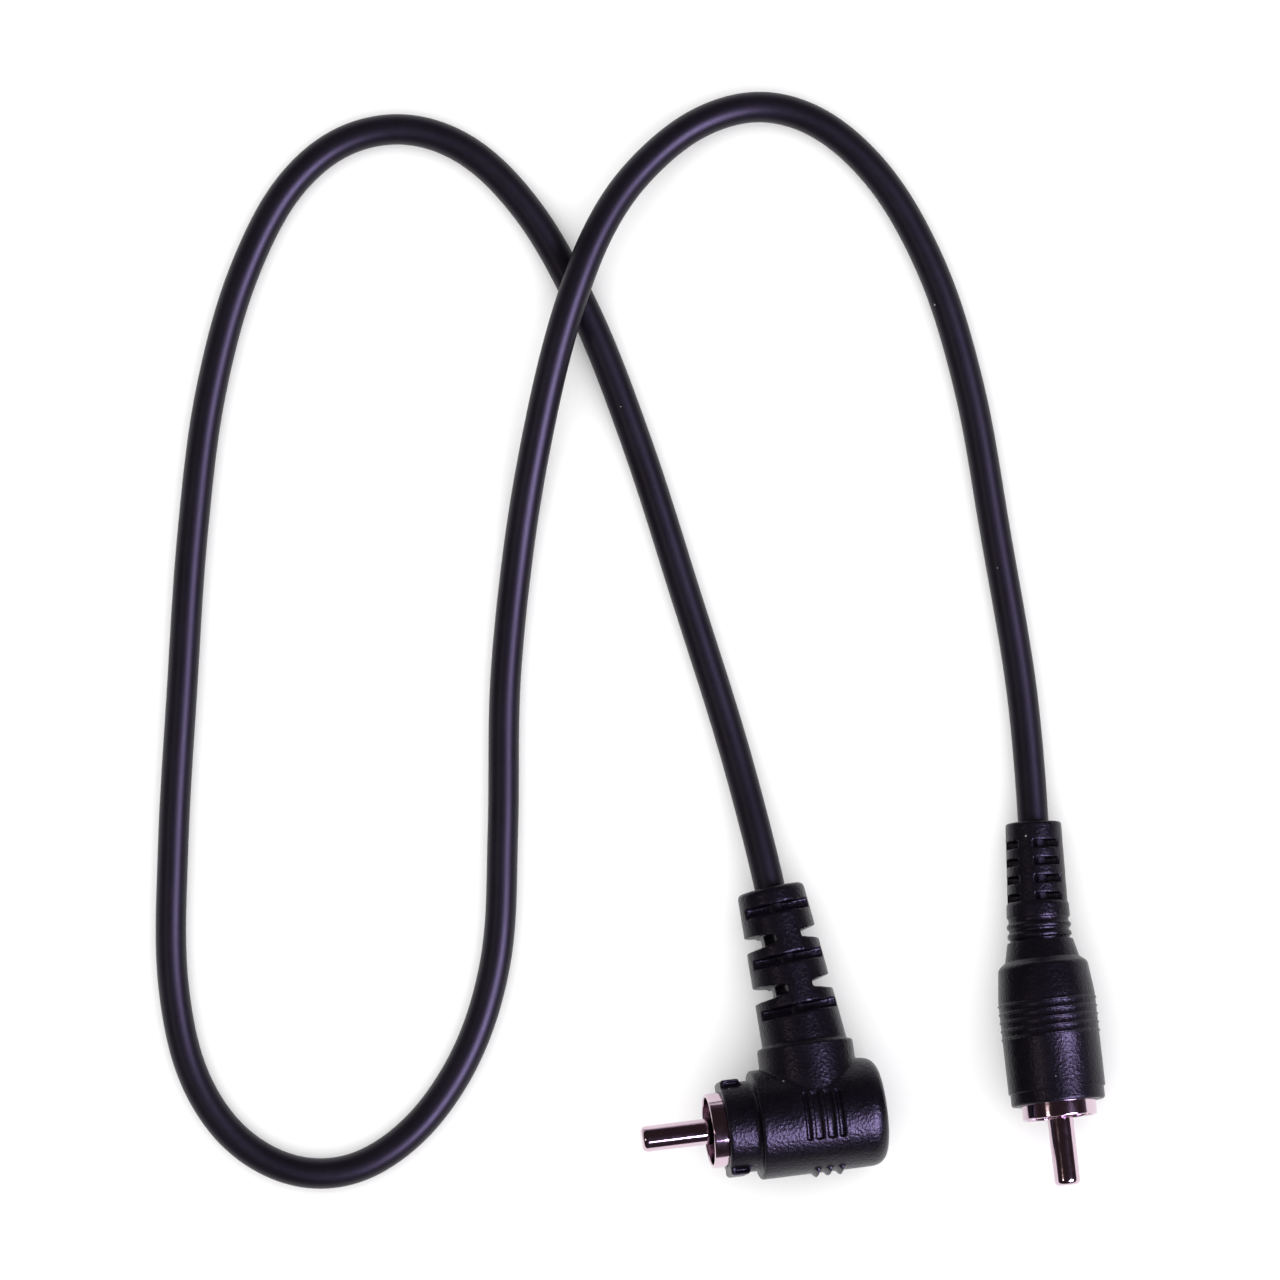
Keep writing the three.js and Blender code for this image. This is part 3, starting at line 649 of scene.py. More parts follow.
@dataclass
class ContactSet:
    """Shell, insulator and centre pin, about Y with the moulding's nose at 0. Millimetres."""

    name: str
    matrix: Matrix
    joint: float
    shell_radius: float = 4.6
    shell_wall: float = 0.42
    shell_reach: float = 1.8
    shell_depth: float = 7.5
    insulator_depth: float = 3.6
    boss_radius: float = 2.2
    boss_length: float = 0.8
    pin_radius: float = 1.6
    pin_reach: float = 8.4
    pin_round: float = 0.95
    pin_head: float = 2.4
    pin_tail_radius: float = 1.0
    solder_half: float = 0.8
    ring: tuple[float, float, float] = (0.55, 0.75, 0.35)  # two widths round the pin, and a rise
    fit: float = 0.03
    sides: int = 160

    def shell(self) -> Piece:
        """Builds the drawn shell, whose rim is rolled round.

        Returns:
            The shell.
        """
        bore, rim = self.shell_radius - self.shell_wall, -self.shell_reach
        hole, back = self.boss_radius + self.fit, self.shell_depth
        body = turned("shell", rounded([
            (bore, rim, 0.18),
            (self.shell_radius, rim, 0.2),
            (self.shell_radius, back, 0.45),
            (hole, back, 0.08),
            (hole, back - self.shell_wall, 0.08),
            (bore, back - self.shell_wall, 0.2),
        ]), self.sides)
        return finish_piece(body, self.name + "_plug_shell", self.matrix)

    def insulator(self) -> Piece:
        """Builds the insulator with a raised ring round the pin and a chamfered mouth.

        Returns:
            The insulator.
        """
        disc = self.shell_radius - self.shell_wall - self.fit
        inner = self.shell_depth - self.shell_wall - self.fit
        face, step = self.insulator_depth, self.insulator_depth + self.pin_head + self.fit
        ring_top, ring_foot, rise = self.ring
        wide, narrow = self.pin_radius + self.fit, self.pin_tail_radius + self.fit
        end = self.shell_depth + self.boss_length
        body = turned("insulator", rounded([
            (wide, face, 0.05),
            (wide + ring_top, face, 0.12),
            (wide + ring_foot, face + rise, 0.12),
            (disc - 0.5, face + rise, 0.1),
            (disc - 0.3, face + 0.1, 0.1),
            (disc, face + 0.1, 0.08),
            (disc, inner, 0.15),
            (self.boss_radius, inner, 0.0),
            (self.boss_radius, end, 0.15),
            (narrow, end, 0.1),
            (narrow, step, 0.0),
            (wide, step, 0.0),
        ]), self.sides)
        return finish_piece(body, self.name + "_plug_insulator", self.matrix)

    def pin(self) -> Piece:
        """Builds the pin, with its rounded tip and its narrower tail.

        Returns:
            The pin.
        """
        tip, head = -self.shell_reach - self.pin_reach, self.insulator_depth + self.pin_head
        tail = self.joint - self.solder_half - self.fit
        body = turned("pin", rounded([
            (0, tip, 0),
            (self.pin_radius, tip, self.pin_round),
            (self.pin_radius, head, 0.1),
            (self.pin_tail_radius, head, 0.05),
            (self.pin_tail_radius, tail, 0.15),
            (0, tail, 0),
        ], 14), self.sides)
        return finish_piece(body, self.name + "_plug_pin", self.matrix)

    def build(self, materials: Materials) -> list[Piece]:
        """Builds and dresses the three pieces.

        Args:
            materials: The materials.

        Returns:
            The pieces.
        """
        made = [(self.shell(), "contact_shell", "nickel"),
                (self.insulator(), "insulator", "insulator"),
                (self.pin(), "centre_pin", "nickel")]
        for piece, node, slot in made:
            stand_for(piece, f"{self.name}_{node}", materials[slot])
        return [piece for piece, _, _ in made]


@dataclass
class AnglePlug:
    """Right-angle plug: its barrel lies along X with the nose at -X, and its boot leaves to +Y."""

    place: PlugPlace = PlugPlace("angle", turn=7.5, roll=8, tail_down=6.6, joint=0)
    nose: float = 11.5  # from the boot's axis to the nose
    barrel_end: float = 8.4
    collar_radius: float = 5.6
    collar_length: float = 4.0
    barrel_radius: float = 6.74
    lug_length: float = 2.7
    lug_half: float = 2.5
    lug_height: float = 5.9
    recess: Point = (1.7, 0.6, 0.9)
    grip_middle: float = 0.25
    grip_size: tuple[float, float] = (4.75, 5.9)
    grip_depth: float = 0.4
    grip_pitch: float = 1.5
    teeth_middle: float = 0.8
    teeth_size: Point = (0.95, 0.85, 5.2)  # height, half of the foot, and width
    neck_radius: float = 5.95
    neck_top: float = 9.2
    foot_radius: float = 5.3
    tail_radius: float = 4.15
    boot_length: float = 28.9
    lean: float = 5.0
    slot_pitch: float = 6.35
    slot_height: float = 1.2
    slot_drop: float = 2.7  # from the boot's end to the first slot
    notch_pitch: float = 0.58  # of a slot's, below each slot
    notches: tuple[Point, Point] = ((1, 0.8, 1.95), (-1, 1.5, 2.35))  # side, floor and reach
    notch_mouth: tuple[float, float] = (5.6, 1.05)
    notch_pocket: Point = (1.3, 1.1, 10)
    notch_pocket_middle: tuple[float, float] = (-1.95, 6.3)
    web_half: float = 1.7
    bore: float = 1.93
    clearance: float = 0.07
    inner_mould: tuple[float, float] = (3.0, 8.45)
    skin: float = 0.145

    def along_barrel(self) -> Matrix:
        """Lays what was turned about Y along the barrel."""
        return Matrix.Translation((-self.nose, 0, 0)) @ Matrix.Rotation(-math.pi / 2, 4, "Z")

    def along_boot(self) -> Matrix:
        """Leans what was made about Y with the boot."""
        hinge = Matrix.Translation((0, self.neck_top, 0))
        return hinge @ Matrix.Rotation(math.radians(self.lean), 4, "Z") @ hinge.inverted()

    def barrel(self) -> Piece:
        """Builds the collar and the barrel with its domed end.

        Returns:
            The body, on the plug's axes.
        """
        step, end = self.collar_length, self.nose + self.barrel_end
        outline = rounded([
            (0, 0, 0),
            (self.collar_radius, 0, 0.35),
            (self.collar_radius, step - 0.25, 0.5),
            (self.collar_radius + 0.45, step, 0.1),
            (self.barrel_radius, step, 0.3),
            (self.barrel_radius, end - 0.1, 2.3),
            (0, end + 0.3, 0),
        ], 10)
        return move(turned("barrel", outline, 192), self.along_barrel())

    def lug(self, side: int) -> Piece:
        """Builds one of the lugs on the collar, with the shallow recesses in its sides.

        Args:
            side: 1 for the front one, -1 for the back one.

        Returns:
            The body.
        """
        start, top = -self.nose, self.lug_height
        end = start + self.lug_length
        corners = [(start + 0.02, 1), (end, 1), (end, top - 0.9),
                   (end - 0.45, top), (start + 0.3, top), (start + 0.02, top - 0.3)]
        body = prism(corners, -self.lug_half, self.lug_half)
        middle = start + 0.6 + self.recess[0] / 2
        combine(body, Joining.CUT, *(
            block(self.recess, (middle, top - 0.6, z * self.lug_half)) for z in (1, -1)))
        return move(body, Matrix.Rotation(0 if side > 0 else math.pi, 4, "X"))

    def pocket(self, side: int) -> Piece:
        """Builds the hollow of the ribbed grip, as a tool to cut with.

        Args:
            side: 1 for the front one, -1 for the back one.

        Returns:
            The tool.
        """
        width, height = self.grip_size
        middle = side * self.barrel_radius
        hollow = block((width, height, 4), (self.grip_middle, 0, middle))
        core = move(rod(self.barrel_radius - self.grip_depth, 0, 30, 192), self.along_barrel())
        ribs = [block((0.5, height + 1, 6), (self.grip_middle + i * self.grip_pitch, 0, middle))
                for i in (-1, 0, 1)]
        return combine(hollow, Joining.CUT, core, *ribs)

    def tooth(self, number: int) -> Piece:
        """Builds one of the grip's teeth under the barrel.

        Args:
            number: -1, 0 or 1 along the barrel.

        Returns:
            The body.
        """
        height = self.nose + self.teeth_middle + number * self.grip_pitch
        rise, half, width = self.teeth_size
        root = self.barrel_radius - self.grip_depth
        outline = [(root, height - half), (root + rise, height), (root, height + half)]
        ring = move(turned("tooth", outline, 128), self.along_barrel())
        return combine(ring, Joining.KEEP, block((30, 30, width), (0, -15, 0)))

    def boot(self) -> Piece:
        """Builds the boot without its cuts.

        Returns:
            The body, on the plug's axes.
        """
        outline = rounded([
            (0, self.neck_top - 1, 0),
            (self.foot_radius, self.neck_top - 1, 0),
            (self.tail_radius, self.boot_length, 0.75),
            (0, self.boot_length, 0),
        ], 10)
        return move(turned("boot", outline, 160), self.along_boot())

    def boot_cuts(self) -> list[Piece]:
        """Builds the tools that cut the slots from front and back and the notches between.

        Returns:
            The tools.
        """
        tools, far, rows = [], 30.0, 3
        for i in range(rows):
            height = self.boot_length - self.slot_drop - i * self.slot_pitch
            for side in (1, -1):
                middle = (0, height, side * (far / 2 + self.web_half))
                tools.append(block((far, self.slot_height, far), middle))
            if i == rows - 1:
                break
            between = height - self.notch_pitch * self.slot_pitch
            deep, half = self.notch_mouth
            for side, floor, reach in self.notches:
                inner, mouth = side * reach, side * deep
                corners = [(inner, between - floor / 2), (mouth, between - half),
                           (mouth, between + half), (inner, between + floor / 2)]
                tools.append(prism(corners if side > 0 else corners[::-1], -far / 2, far / 2))
            x, z = self.notch_pocket_middle
            tools += [block(self.notch_pocket, (x, between, k * z)) for k in (1, -1)]
        return [move(tool, self.along_boot()) for tool in tools]

    def rooms(self, contacts: ContactSet) -> list[Piece]:
        """Builds the rooms for the shell, the inner mould and the cord, as tools.

        Args:
            contacts: The contact set that the shell belongs to.

        Returns:
            The tools.
        """
        room = contacts.shell_radius + self.clearance
        back = self.nose + contacts.shell_radius + self.clearance
        radius, top = self.inner_mould
        return [
            move(rod(room, -1, back, 160), self.along_barrel()),
            rod(radius + self.clearance, 0, top),
            rod(self.bore, 0, self.neck_top + 0.1, 64),
            move(rod(self.bore, self.neck_top - 0.1, self.boot_length + 1, 64), self.along_boot()),
        ]

    def overmould(self, contacts: ContactSet) -> Piece:
        """Builds the whole moulding.

        Args:
            contacts: The contact set that it is moulded round.

        Returns:
            The moulding.
        """
        body = self.barrel()
        neck = turned("neck", rounded([
            (0, 0, 0), (self.neck_radius, 0, 0), (self.neck_radius, self.neck_top, 0.35),
            (0, self.neck_top, 0)], 8), 160)
        combine(body, Joining.ADD, self.lug(1), self.lug(-1), neck, self.boot())
        combine(body, Joining.ADD, *(self.tooth(i) for i in (-1, 0, 1)))
        combine(body, Joining.CUT, self.pocket(1), self.pocket(-1), *self.boot_cuts())
        soften(body, self.skin, 2)
        combine(body, Joining.CUT, *self.rooms(contacts))
        return finish_piece(body, "angle_plug_moulding", self.place.matrix())

    def build(self, materials: Materials) -> list[Piece]:
        """Builds and dresses the plug.

        Args:
            materials: The materials.

        Returns:
            Its pieces.
        """
        contacts = ContactSet("angle", self.place.matrix() @ self.along_barrel(), self.nose)
        moulding = self.overmould(contacts)
        stand_for(moulding, "angle_overmould", materials["moulding"])
        return [moulding, *contacts.build(materials)]


@dataclass
class StraightPlug:
    """Straight plug: +Y runs from its open nose to the cord, and its boot is bent a little."""

    place: PlugPlace = PlugPlace("straight", turn=6.2, roll=-22, tail_down=6.6, joint=11.3)
    nose_radius: float = 5.8
    nose_band: float = 1.6
    body_radius: float = 6.0
    ridges: int = 5
    ridges_start: float = 7.9
    ridge_pitch: float = 1.03
    ridge_rise: float = 0.13
    body_end: float = 13.15
    shoulder: float = 17.1
    shoulder_radius: float = 5.55
    sleeve_radius: float = 4.61
    collars: tuple[float, float] = (20.85, 22.0)
    collar_radius: float = 3.98
    boot_start: float = 23.0
    boot_radius: float = 3.72
    tail_radius: float = 3.45
    length: float = 34.8
    bend: float = 3.4
    bend_start: float = 19.0
    bend_length: float = 4.0
    window_pitch: float = 2.18
    window_height: float = 0.98
    window_rib: float = 1.9
    window_drop: float = 2.8  # from the boot's end to the first row
    bore: float = 1.93
    clearance: float = 0.07
    shell_room: float = 16.7
    skin: float = 0.115

    def bend_boot(self, places: np.ndarray) -> np.ndarray:
        """Bends the boot level out of line.

        Args:
            places: The vertices, row by row.

        Returns:
            Their new places.
        """
        roll = math.radians(self.place.roll)
        level = np.array([math.cos(roll), 0, math.sin(roll)])
        past = np.maximum(places[:, 1] - self.bend_start, 0)
        bending = np.minimum(past, self.bend_length)
        slope = math.tan(math.radians(self.bend)) * bending / self.bend_length
        carried = places + np.outer(slope * (past - bending / 2), level)
        carried[:, 1] -= slope * (places @ level)
        return carried

    def ridge_points(self) -> list[Corner]:
        """Gives the outline over the thin rounded ridges.

        Returns:
            The points, with no rounding.
        """
        points, half, steps = [], 0.24, 8
        for i in range(self.ridges):
            middle = self.ridges_start + (i + 0.5) * self.ridge_pitch
            for k in range(steps + 1):
                share = 2 * k / steps - 1
                rise = self.ridge_rise * (0.5 + 0.5 * math.cos(math.pi * share))
                points.append((self.body_radius + rise, middle + half * share, 0.0))
        return points

    def body(self) -> Piece:
        """Builds the body from the nose to the sleeve.

        Returns:
            The body.
        """
        outline = rounded([
            (0, 0, 0),
            (self.nose_radius, 0, 0.4),
            (self.nose_radius, self.nose_band, 0.05),
            (self.body_radius, self.nose_band + 0.02, 0.1),
            *self.ridge_points(),
            (self.body_radius, self.body_end, 0.5),
            (self.shoulder_radius, self.shoulder, 0.95),
            (self.sleeve_radius, self.shoulder + 0.75, 0.3),
            (4.08, 20.1, 0.15),
            (3.6, 20.25, 0.0),
            (0, 20.25, 0),
        ], 8)
        return turned("body", outline, 200)

    def windows(self) -> list[Piece]:
        """Builds the tools that cut the rows of windows, leaving four ribs.

        Returns:
            The tools.
        """
        tools, far = [], 30
        for row in range(4):
            height = self.length - self.window_drop - row * self.window_pitch
            half = self.window_height / 2
            ring = rod(8, height - half, height + half, 48)
            across = block((far, far, self.window_rib), (0, height, 0))
            along = block((self.window_rib, far, far), (0, height, 0))
            tools.append(combine(ring, Joining.CUT, across, along))
        return tools

    def boot(self) -> Piece:
        """Builds the boot with its two raised rings and its windows.

        Returns:
            The body.
        """
        waist = self.collar_radius - 0.27
        rings = [corner for height in self.collars for corner in (
            (waist, height - 0.36, 0.15), (self.collar_radius, height - 0.24, 0.2),
            (self.collar_radius, height + 0.24, 0.2), (waist, height + 0.36, 0.15))]
        body = turned("boot", rounded([
            (0, 17.6, 0), (3.4, 17.6, 0), (3.6, 20.0, 0),
            *rings,
            (waist, self.boot_start - 0.1, 0.1),
            (self.boot_radius + 0.2, self.boot_start + 0.1, 0.15),
            (self.boot_radius + 0.14, self.boot_start + 1.6, 0.2),
            (self.boot_radius, self.boot_start + 1.9, 0.2),
            (self.tail_radius, self.length, 0.4),
            (0, self.length, 0),
        ], 6), 144)
        combine(body, Joining.CUT, *self.windows())
        soften(body, self.skin, 2)
        return body

    def overmould(self, contacts: ContactSet) -> Piece:
        """Builds the whole moulding.

        Args:
            contacts: The contact set that it is moulded round.

        Returns:
            The moulding.
        """
        body = combine(self.body(), Joining.ADD, self.boot())
        room = rod(contacts.shell_radius + self.clearance, -1, self.shell_room, 160)
        combine(body, Joining.CUT, room, rod(self.bore, 16, 40, 64))
        warp(body, self.bend_boot)
        return finish_piece(body, "straight_plug_moulding", self.place.matrix())

    def build(self, materials: Materials) -> list[Piece]:
        """Builds and dresses the plug.

        Args:
            materials: The materials.

        Returns:
            Its pieces.
        """
        contacts = ContactSet("straight", self.place.matrix(), self.place.joint)
        moulding = self.overmould(contacts)
        stand_for(moulding, "straight_overmould", materials["moulding"])
        return [moulding, *contacts.build(materials)]


# Cord -----------------------------------------------------------------
# The free cord's way over the floor, from the right-angle plug to the straight one, in metres.
ROUTE: list[Point] = [
    (-0.0171, 0.0318, 0.00243), (-0.023, 0.0506, 0.002), (-0.0289, 0.069, 0.002),
    (-0.0353, 0.0854, 0.002), (-0.0426, 0.0984, 0.002), (-0.0502, 0.1059, 0.002),
    (-0.0578, 0.1085, 0.002), (-0.0655, 0.107, 0.002), (-0.0721, 0.1015, 0.002),
    (-0.0779, 0.0905, 0.002), (-0.082, 0.0755, 0.002), (-0.0842, 0.0581, 0.002),
    (-0.0855, 0.0388, 0.002), (-0.0866, 0.0193, 0.002), (-0.0866, 0.0025, 0.002),
    (-0.0839, -0.0094, 0.002), (-0.0786, -0.017, 0.002), (-0.0715, -0.0208, 0.002),
    (-0.0644, -0.0206, 0.002), (-0.057, -0.016, 0.002), (-0.0504, -0.0068, 0.002),
    (-0.0466, 0.0052, 0.002), (-0.0457, 0.0213, 0.002), (-0.0454, 0.0399, 0.002),
    (-0.0436, 0.0575, 0.0023), (-0.0415, 0.0698, 0.00415), (-0.0391, 0.0805, 0.00583),
    (-0.0368, 0.0882, 0.0063), (-0.0339, 0.0955, 0.00587), (-0.0297, 0.1021, 0.00471),
    (-0.0218, 0.109, 0.00295), (-0.014, 0.1113, 0.00213), (-0.0068, 0.1094, 0.002),
    (0.0008, 0.1028, 0.002), (0.0075, 0.0912, 0.002), (0.0121, 0.0765, 0.002),
    (0.0154, 0.0582, 0.002), (0.0186, 0.0391, 0.00221),
]


@dataclass(frozen=True)
class Layer:
    """One of the cord's coaxial layers. Metres."""

    piece: str
    node: str
    slot: str
    radius: float
    bore: float  # nothing for a solid core
    strip: float  # how far it is stripped back from the conductor's end


@dataclass
class Cord:
    """The free cord and the ends of it that the boots hold. Metres."""

    angle: AnglePlug
    straight: StraightPlug
    jacket: Layer = Layer("cord_jacket", "cable_jacket", "jacket", 0.0019, 0.0014, 0.0031)
    core: tuple[Layer, ...] = (
        Layer("cord_screen", "cable_shield", "copper", 0.0012, 0.00105, 0.0019),
        Layer("cord_dielectric", "cable_dielectric", "natural", 0.00085, 0.00045, 0.0009),
        Layer("cord_conductor", "cable_conductor", "copper", 0.00025, 0.0, 0.0),
    )
    leaving: float = 3.0  # straight out of each boot, in millimetres
    knot_steps: int = 24
    smoothings: int = 12
    spacing: float = 0.0007
    sides: int = 32
    core_sides: int = 12

    def angle_end(self) -> list[Vector]:
        """Gives points on the cord's line in the right-angle plug, from its end to the tail.

        Returns:
            The points.
        """
        plug = self.angle
        places = [Vector((0, y, 0)) for y in (1.1, 5.7, plug.neck_top)]
        tail = plug.boot_length
        places += [plug.along_boot() @ Vector((0, y, 0)) for y in (tail, tail + self.leaving)]
        return [plug.place.matrix() @ place for place in places]

    def straight_end(self) -> list[Vector]:
        """Gives points on the cord's line in the straight plug, from its end to the tail.

        Returns:
            The points.
        """
        plug = self.straight
        heights = (12.4, 17.0, 21.0, plug.length, plug.length + self.leaving)
        bent = plug.bend_boot(np.array([(0, y, 0) for y in heights]))
        return [plug.place.matrix() @ Vector(place) for place in bent]

    @staticmethod
    def through(points: list[Vector], steps: int) -> list[Vector]:
        """Draws one smooth line through points, with the knots spaced by the root of the distance.

        Args:
            points: The points.
            steps: Number of short lines between two points.

        Returns:
            The line's points.
        """
        ends = [2 * points[0] - points[1], *points, 2 * points[-1] - points[-2]]
        line = []
        for p0, p1, p2, p3 in zip(ends, ends[1:], ends[2:], ends[3:]):
            t0 = 0.0
            t1 = t0 + math.sqrt((p1 - p0).length)
            t2 = t1 + math.sqrt((p2 - p1).length)
            t3 = t2 + math.sqrt((p3 - p2).length)
            for step in range(steps):
                t = t1 + (t2 - t1) * step / steps
                a = p0.lerp(p1, (t - t0) / (t1 - t0))
                b = p1.lerp(p2, (t - t1) / (t2 - t1))
                c = p2.lerp(p3, (t - t2) / (t3 - t2))
                early, late = a.lerp(b, (t - t0) / (t2 - t0)), b.lerp(c, (t - t1) / (t3 - t1))
                line.append(early.lerp(late, (t - t1) / (t2 - t1)))
        return [*line, points[-1]]

    def line(self) -> np.ndarray:
        """Works out the cord's middle line, in even short steps.

        Returns:
            The line's points, row by row.
        """
        start, end = self.angle_end(), self.straight_end()
        free = self.through([*start[-2:], *(Vector(point) for point in ROUTE), *end[:-3:-1]],
                            self.knot_steps)
        rough = np.array([*start[:-2], *free, *end[:-2][::-1]])
        reach = np.concatenate([[0], np.cumsum(np.linalg.norm(np.diff(rough, axis=0), axis=1))])
        count = int(reach[-1] / self.spacing)
        even = np.linspace(0, reach[-1], count + 1)
        line = np.stack([np.interp(even, reach, rough[:, axis]) for axis in range(3)], axis=1)
        for _ in range(self.smoothings):
            line[1:-1] = 0.5 * line[1:-1] + 0.25 * (line[:-2] + line[2:])
        return line

    def tube(self, line: np.ndarray, layer: Layer) -> Piece:
        """Draws a layer along a line, with a map of its length and its sides.

        Args:
            line: The line's points.
            layer: The layer, hollow or solid.

        Returns:
            The layer's closed body.
        """
        tangents = np.gradient(line, axis=0)
        tangents /= np.linalg.norm(tangents, axis=1)[:, None]
        side = np.cross(tangents[0], (0, 0, 1))
        n, last = self.sides if layer is self.jacket else self.core_sides, len(line) - 1
        radii = [layer.radius, layer.bore] if layer.bore else [layer.radius]
        angles = np.linspace(0, 2 * math.pi, n, endpoint=False)
        vertices, faces, maps = [], [], []
        for spot, tangent in zip(line, tangents):
            side = side - tangent * (side @ tangent)
            side /= np.linalg.norm(side)
            up = np.cross(side, tangent)
            ring = np.outer(np.cos(angles), side) + np.outer(np.sin(angles), up)
            for radius in radii:
                vertices += list(spot + radius * ring)
        stride = n * len(radii)
        for i in range(last):
            low, high = i * self.spacing, (i + 1) * self.spacing
            for k in range(n):
                a, b, nxt = stride * i, stride * (i + 1), (k + 1) % n
                u, w = k / n, (k + 1) / n
                faces.append((a + k, a + nxt, b + nxt, b + k))
                maps += [(u, low), (w, low), (w, high), (u, high)]
                if layer.bore:
                    faces.append((a + n + nxt, a + n + k, b + n + k, b + n + nxt))
                    maps += [(w, low), (u, low), (u, high), (w, high)]
        end = stride * last
        if layer.bore:
            for k in range(n):
                nxt = (k + 1) % n
                faces.append((nxt, k, n + k, n + nxt))
                faces.append((end + k, end + nxt, end + n + nxt, end + n + k))
        else:
            faces += [tuple(reversed(range(n))), tuple(range(end, end + n))]
        body = mesh_object(layer.piece, vertices, faces)
        maps += [(0, 0)] * (len(body.data.loops) - len(maps))
        mapping = body.data.uv_layers.new(name="length")
        mapping.data.foreach_set("uv", np.array(maps, dtype=np.float32).ravel())
        body.data.shade_smooth()
        body.data.set_sharp_from_angle(angle=math.radians(50))
        return body

    def build_layer(self, line: np.ndarray, layer: Layer, materials: Materials) -> Piece:
        """Builds and dresses one layer.

        Args:
            line: The conductor's line.
            layer: The layer.
            materials: The materials.

        Returns:
            The layer's piece.
        """
        cut = round(layer.strip / self.spacing)
        piece = self.tube(line[cut:len(line) - cut], layer)
        stand_for(piece, layer.node, materials[layer.slot])
        return piece

    def build(self, materials: Materials, far_plug: list[Piece]) -> Piece:
        """Args:
            materials: The materials.
            far_plug: Every piece of the straight plug, which the cord ends in. Not used.

        Returns:
            The jacket.
        """
        line = self.line()
        core = [self.build_layer(line, layer, materials) for layer in self.core]
        jacket = self.build_layer(line, self.jacket, materials)
        cut = round(self.jacket.strip / self.spacing)
        path = line[cut:len(line) - cut]
        length = float(np.linalg.norm(np.diff(path, axis=0), axis=1).sum())
        LOG.info("cord: %.4f m", length)
        tuple(self.angle_end()[3])
        return jacket


# Pieces that stay as the frame has them, and the studio ---------------


@dataclass(frozen=True)
class HiddenParts:
    """The pieces inside the mouldings, which keep their own meshes."""

    slots: tuple[tuple[str, str], ...] = (
        ("inner_mould", "natural"), ("ground_tag", "tag"), ("pin_solder", "solder"),
        ("ground_solder", "solder"), ("shield_tail", "copper"))

    def of_plug(self, plug: str) -> list[Piece]:
        """Finds a plug's inner pieces."""
        return [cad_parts[f"{plug}_{ending}"] for ending, _ in self.slots]

    def dress(self, materials: Materials) -> None:
        """Gives each piece the material that its name calls for.

        Args:
            materials: The materials.
        """
        for plug in ("angle", "straight"):
            for piece, (ending, slot) in zip(self.of_plug(plug), self.slots):
                dress(piece, materials[slot])
                LOG.info("%s_%s: kept, %s", plug, ending, slot)


class LampUse(Enum):
    """What a lamp lights."""

    GLOSS = "highlights only"
    SHADE = "matt surfaces only"


@dataclass(frozen=True)
class Lamp:
    """A soft rectangular lamp that looks at the middle of the object."""

    name: str
    towards: Point  # direction from the object
    distance: float
    size: tuple[float, float]
    power: float
    colour: tuple[float, float, float]
    use: LampUse


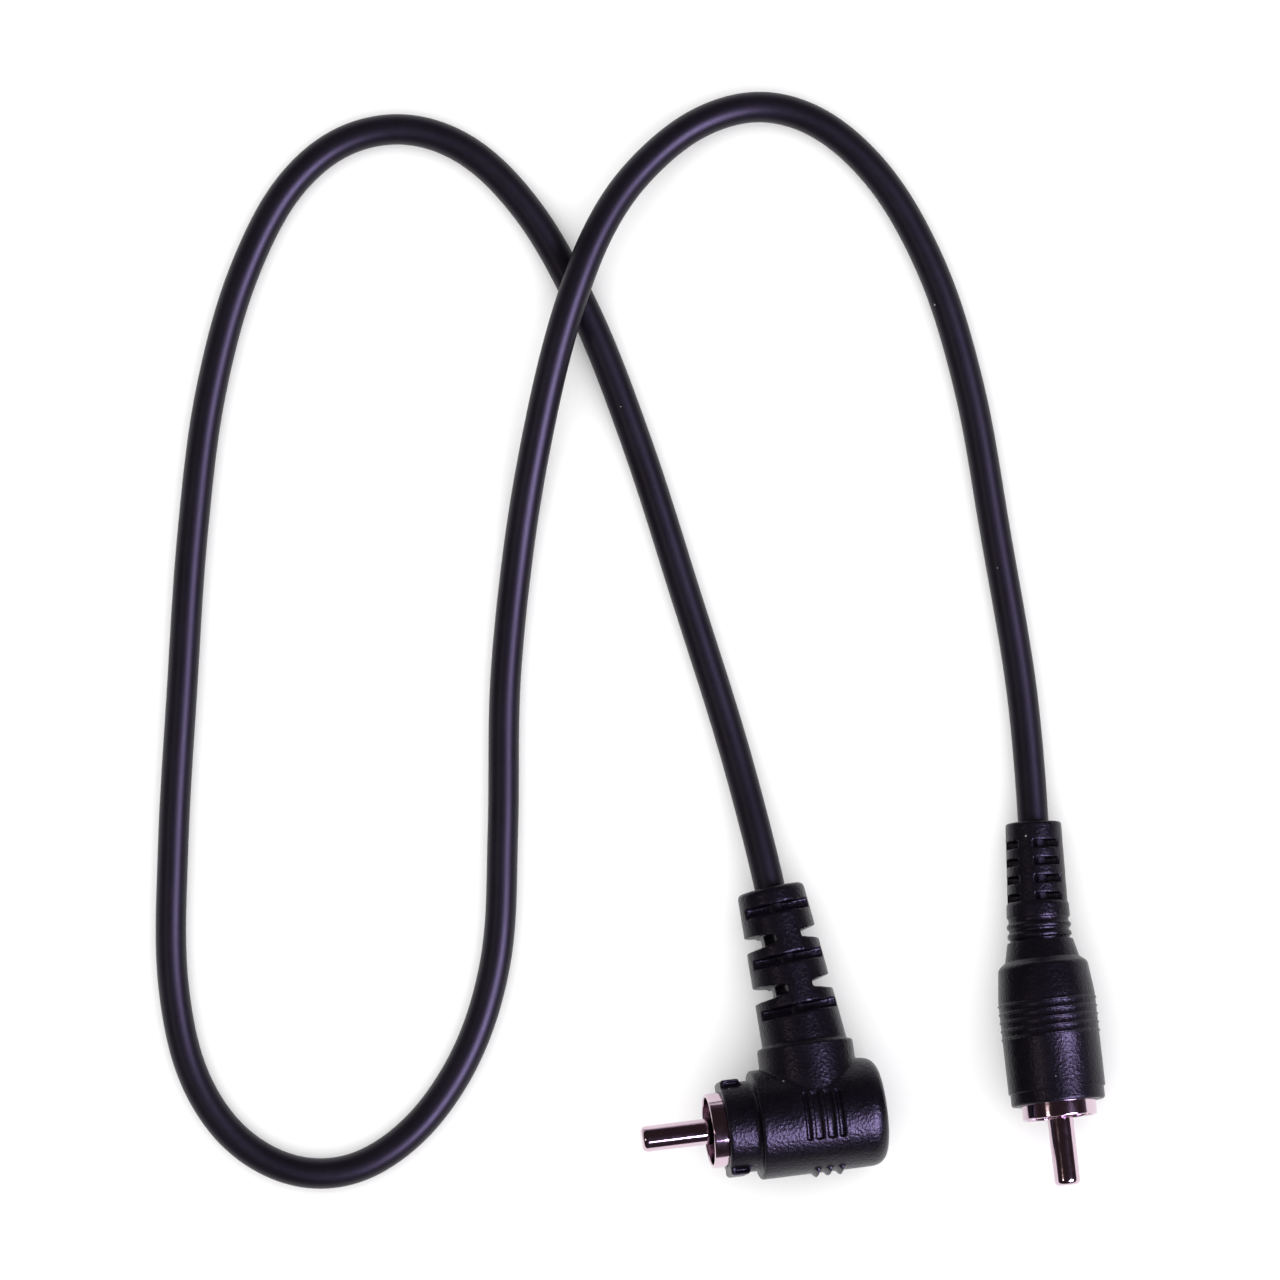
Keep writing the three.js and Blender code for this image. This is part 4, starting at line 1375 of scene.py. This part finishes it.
@dataclass
class Studio:
    """Floor, lamps, sky and camera. Metres."""

    target: Vector = field(default_factory=lambda: Vector((-0.0287, 0.0451, 0.0)))
    camera_height: float = 0.95
    lens: float = 215.0
    floor_radius: float = 4.0
    floor_sides: int = 96
    floor_tones: tuple[Colour, Colour] = ((0.86, 0.86, 0.86, 1), (0.88, 0.88, 0.88, 1))
    lamps: tuple[Lamp, ...] = (
        Lamp("key_lamp", (0.75, -0.445, 1.0), 2.0, (1.3, 0.8), 140.0, (0.72, 0.64, 1.0),
             LampUse.GLOSS),
        Lamp("warm_lamp", (-0.75, -0.15, 1.0), 2.0, (0.3, 0.3), 3.5, (1.0, 0.88, 0.8),
             LampUse.GLOSS),
        Lamp("soft_box", (0.0, 0.0, 1.0), 2.0, (8.0, 8.0), 375.0, (1.0, 1.0, 1.0), LampUse.SHADE),
    )
    zenith: Colour = (0.03, 0.02, 0.022, 1)
    horizon: Colour = (0.12, 0.085, 0.12, 1)

    def floor(self) -> None:
        """Lays the pale floor."""
        count = self.floor_sides
        vertices = [(0, 0, 0)] + [
            (self.floor_radius * math.cos(2 * math.pi * k / count),
             self.floor_radius * math.sin(2 * math.pi * k / count), 0) for k in range(count)]
        faces = [(0, k + 1, (k + 1) % count + 1) for k in range(count)]
        floor = mesh_object("floor", vertices, faces)
        material, graph, shader = new_material("pale_floor")
        cloud = SMUDGE.use(graph, Size=0.3)["Cloud"]
        tint = graph.blend(cloud, *self.floor_tones)
        graph.feed(shader, Base_Color=tint)
        shader.inputs["Roughness"].default_value = 0.9
        shader.inputs["Specular IOR Level"].default_value = 0.1
        dress(floor, material)

    def lamp(self, lamp: Lamp) -> None:
        """Hangs a lamp.

        Args:
            lamp: The lamp.
        """
        light = bpy.data.lights.new(lamp.name, "AREA")
        light.shape, light.energy, light.color = "RECTANGLE", lamp.power, lamp.colour
        light.size, light.size_y = lamp.size
        made = bpy.data.objects.new(lamp.name, light)
        made.visible_camera = False
        made.visible_diffuse = lamp.use is LampUse.SHADE
        made.visible_glossy = lamp.use is LampUse.GLOSS
        towards = Vector(lamp.towards).normalized()
        made.location = self.target + towards * lamp.distance
        made.rotation_mode = "QUATERNION"
        made.rotation_quaternion = towards.to_track_quat("Z", "Y")
        bpy.context.scene.collection.objects.link(made)

    def sky(self) -> None:
        """Makes surroundings that are pale low down and dark overhead."""
        world = bpy.data.worlds.new("surroundings")
        world.use_nodes = True
        world.node_tree.nodes.clear()
        graph = Graph(world.node_tree)
        towards = graph.node("ShaderNodeTexCoord").outputs["Generated"]
        height = graph.node("ShaderNodeSeparateXYZ", {"Vector": towards}).outputs["Z"]
        share = graph.ramp(height, 0.0, 0.3)
        colour = graph.blend(share, self.horizon, self.zenith)
        shader = graph.node("ShaderNodeBackground", {"Color": colour})
        graph.node("ShaderNodeOutputWorld", {"Surface": shader.outputs["Background"]})
        bpy.context.scene.world = world

    def camera(self) -> None:
        """Sets up the camera, looking straight down."""
        lens = bpy.data.cameras.new("camera")
        lens.lens, lens.sensor_width = self.lens, 36.0
        lens.clip_start, lens.clip_end = 0.05, 20.0
        made = bpy.data.objects.new("camera", lens)
        made.location = self.target + Vector((0, 0, self.camera_height))
        bpy.context.scene.collection.objects.link(made)
        bpy.context.scene.camera = made

    def build(self) -> None:
        """Builds the whole studio."""
        self.camera()
        self.floor()
        for lamp in self.lamps:
            self.lamp(lamp)
        self.sky()
        bpy.context.scene.view_settings.view_transform = "Standard"


def main() -> None:
    """Builds the studio, both plugs and the cord."""
    logging.basicConfig(level=logging.INFO, format="%(name)s %(message)s")
    Studio().build()
    finishes = {"moulding": MOULDING, "jacket": JACKET, "insulator": INSULATOR, "natural": NATURAL,
                "nickel": NICKEL, "tag": TINNED, "copper": COPPER, "solder": SOLDER}
    materials = {slot: finish.make() for slot, finish in finishes.items()}
    hidden = HiddenParts()
    hidden.dress(materials)
    angle, straight = AnglePlug(), StraightPlug()
    angle.build(materials)
    far_plug = straight.build(materials)
    Cord(angle, straight).build(materials, far_plug + hidden.of_plug("straight"))


if __name__ == "__main__":
    main()
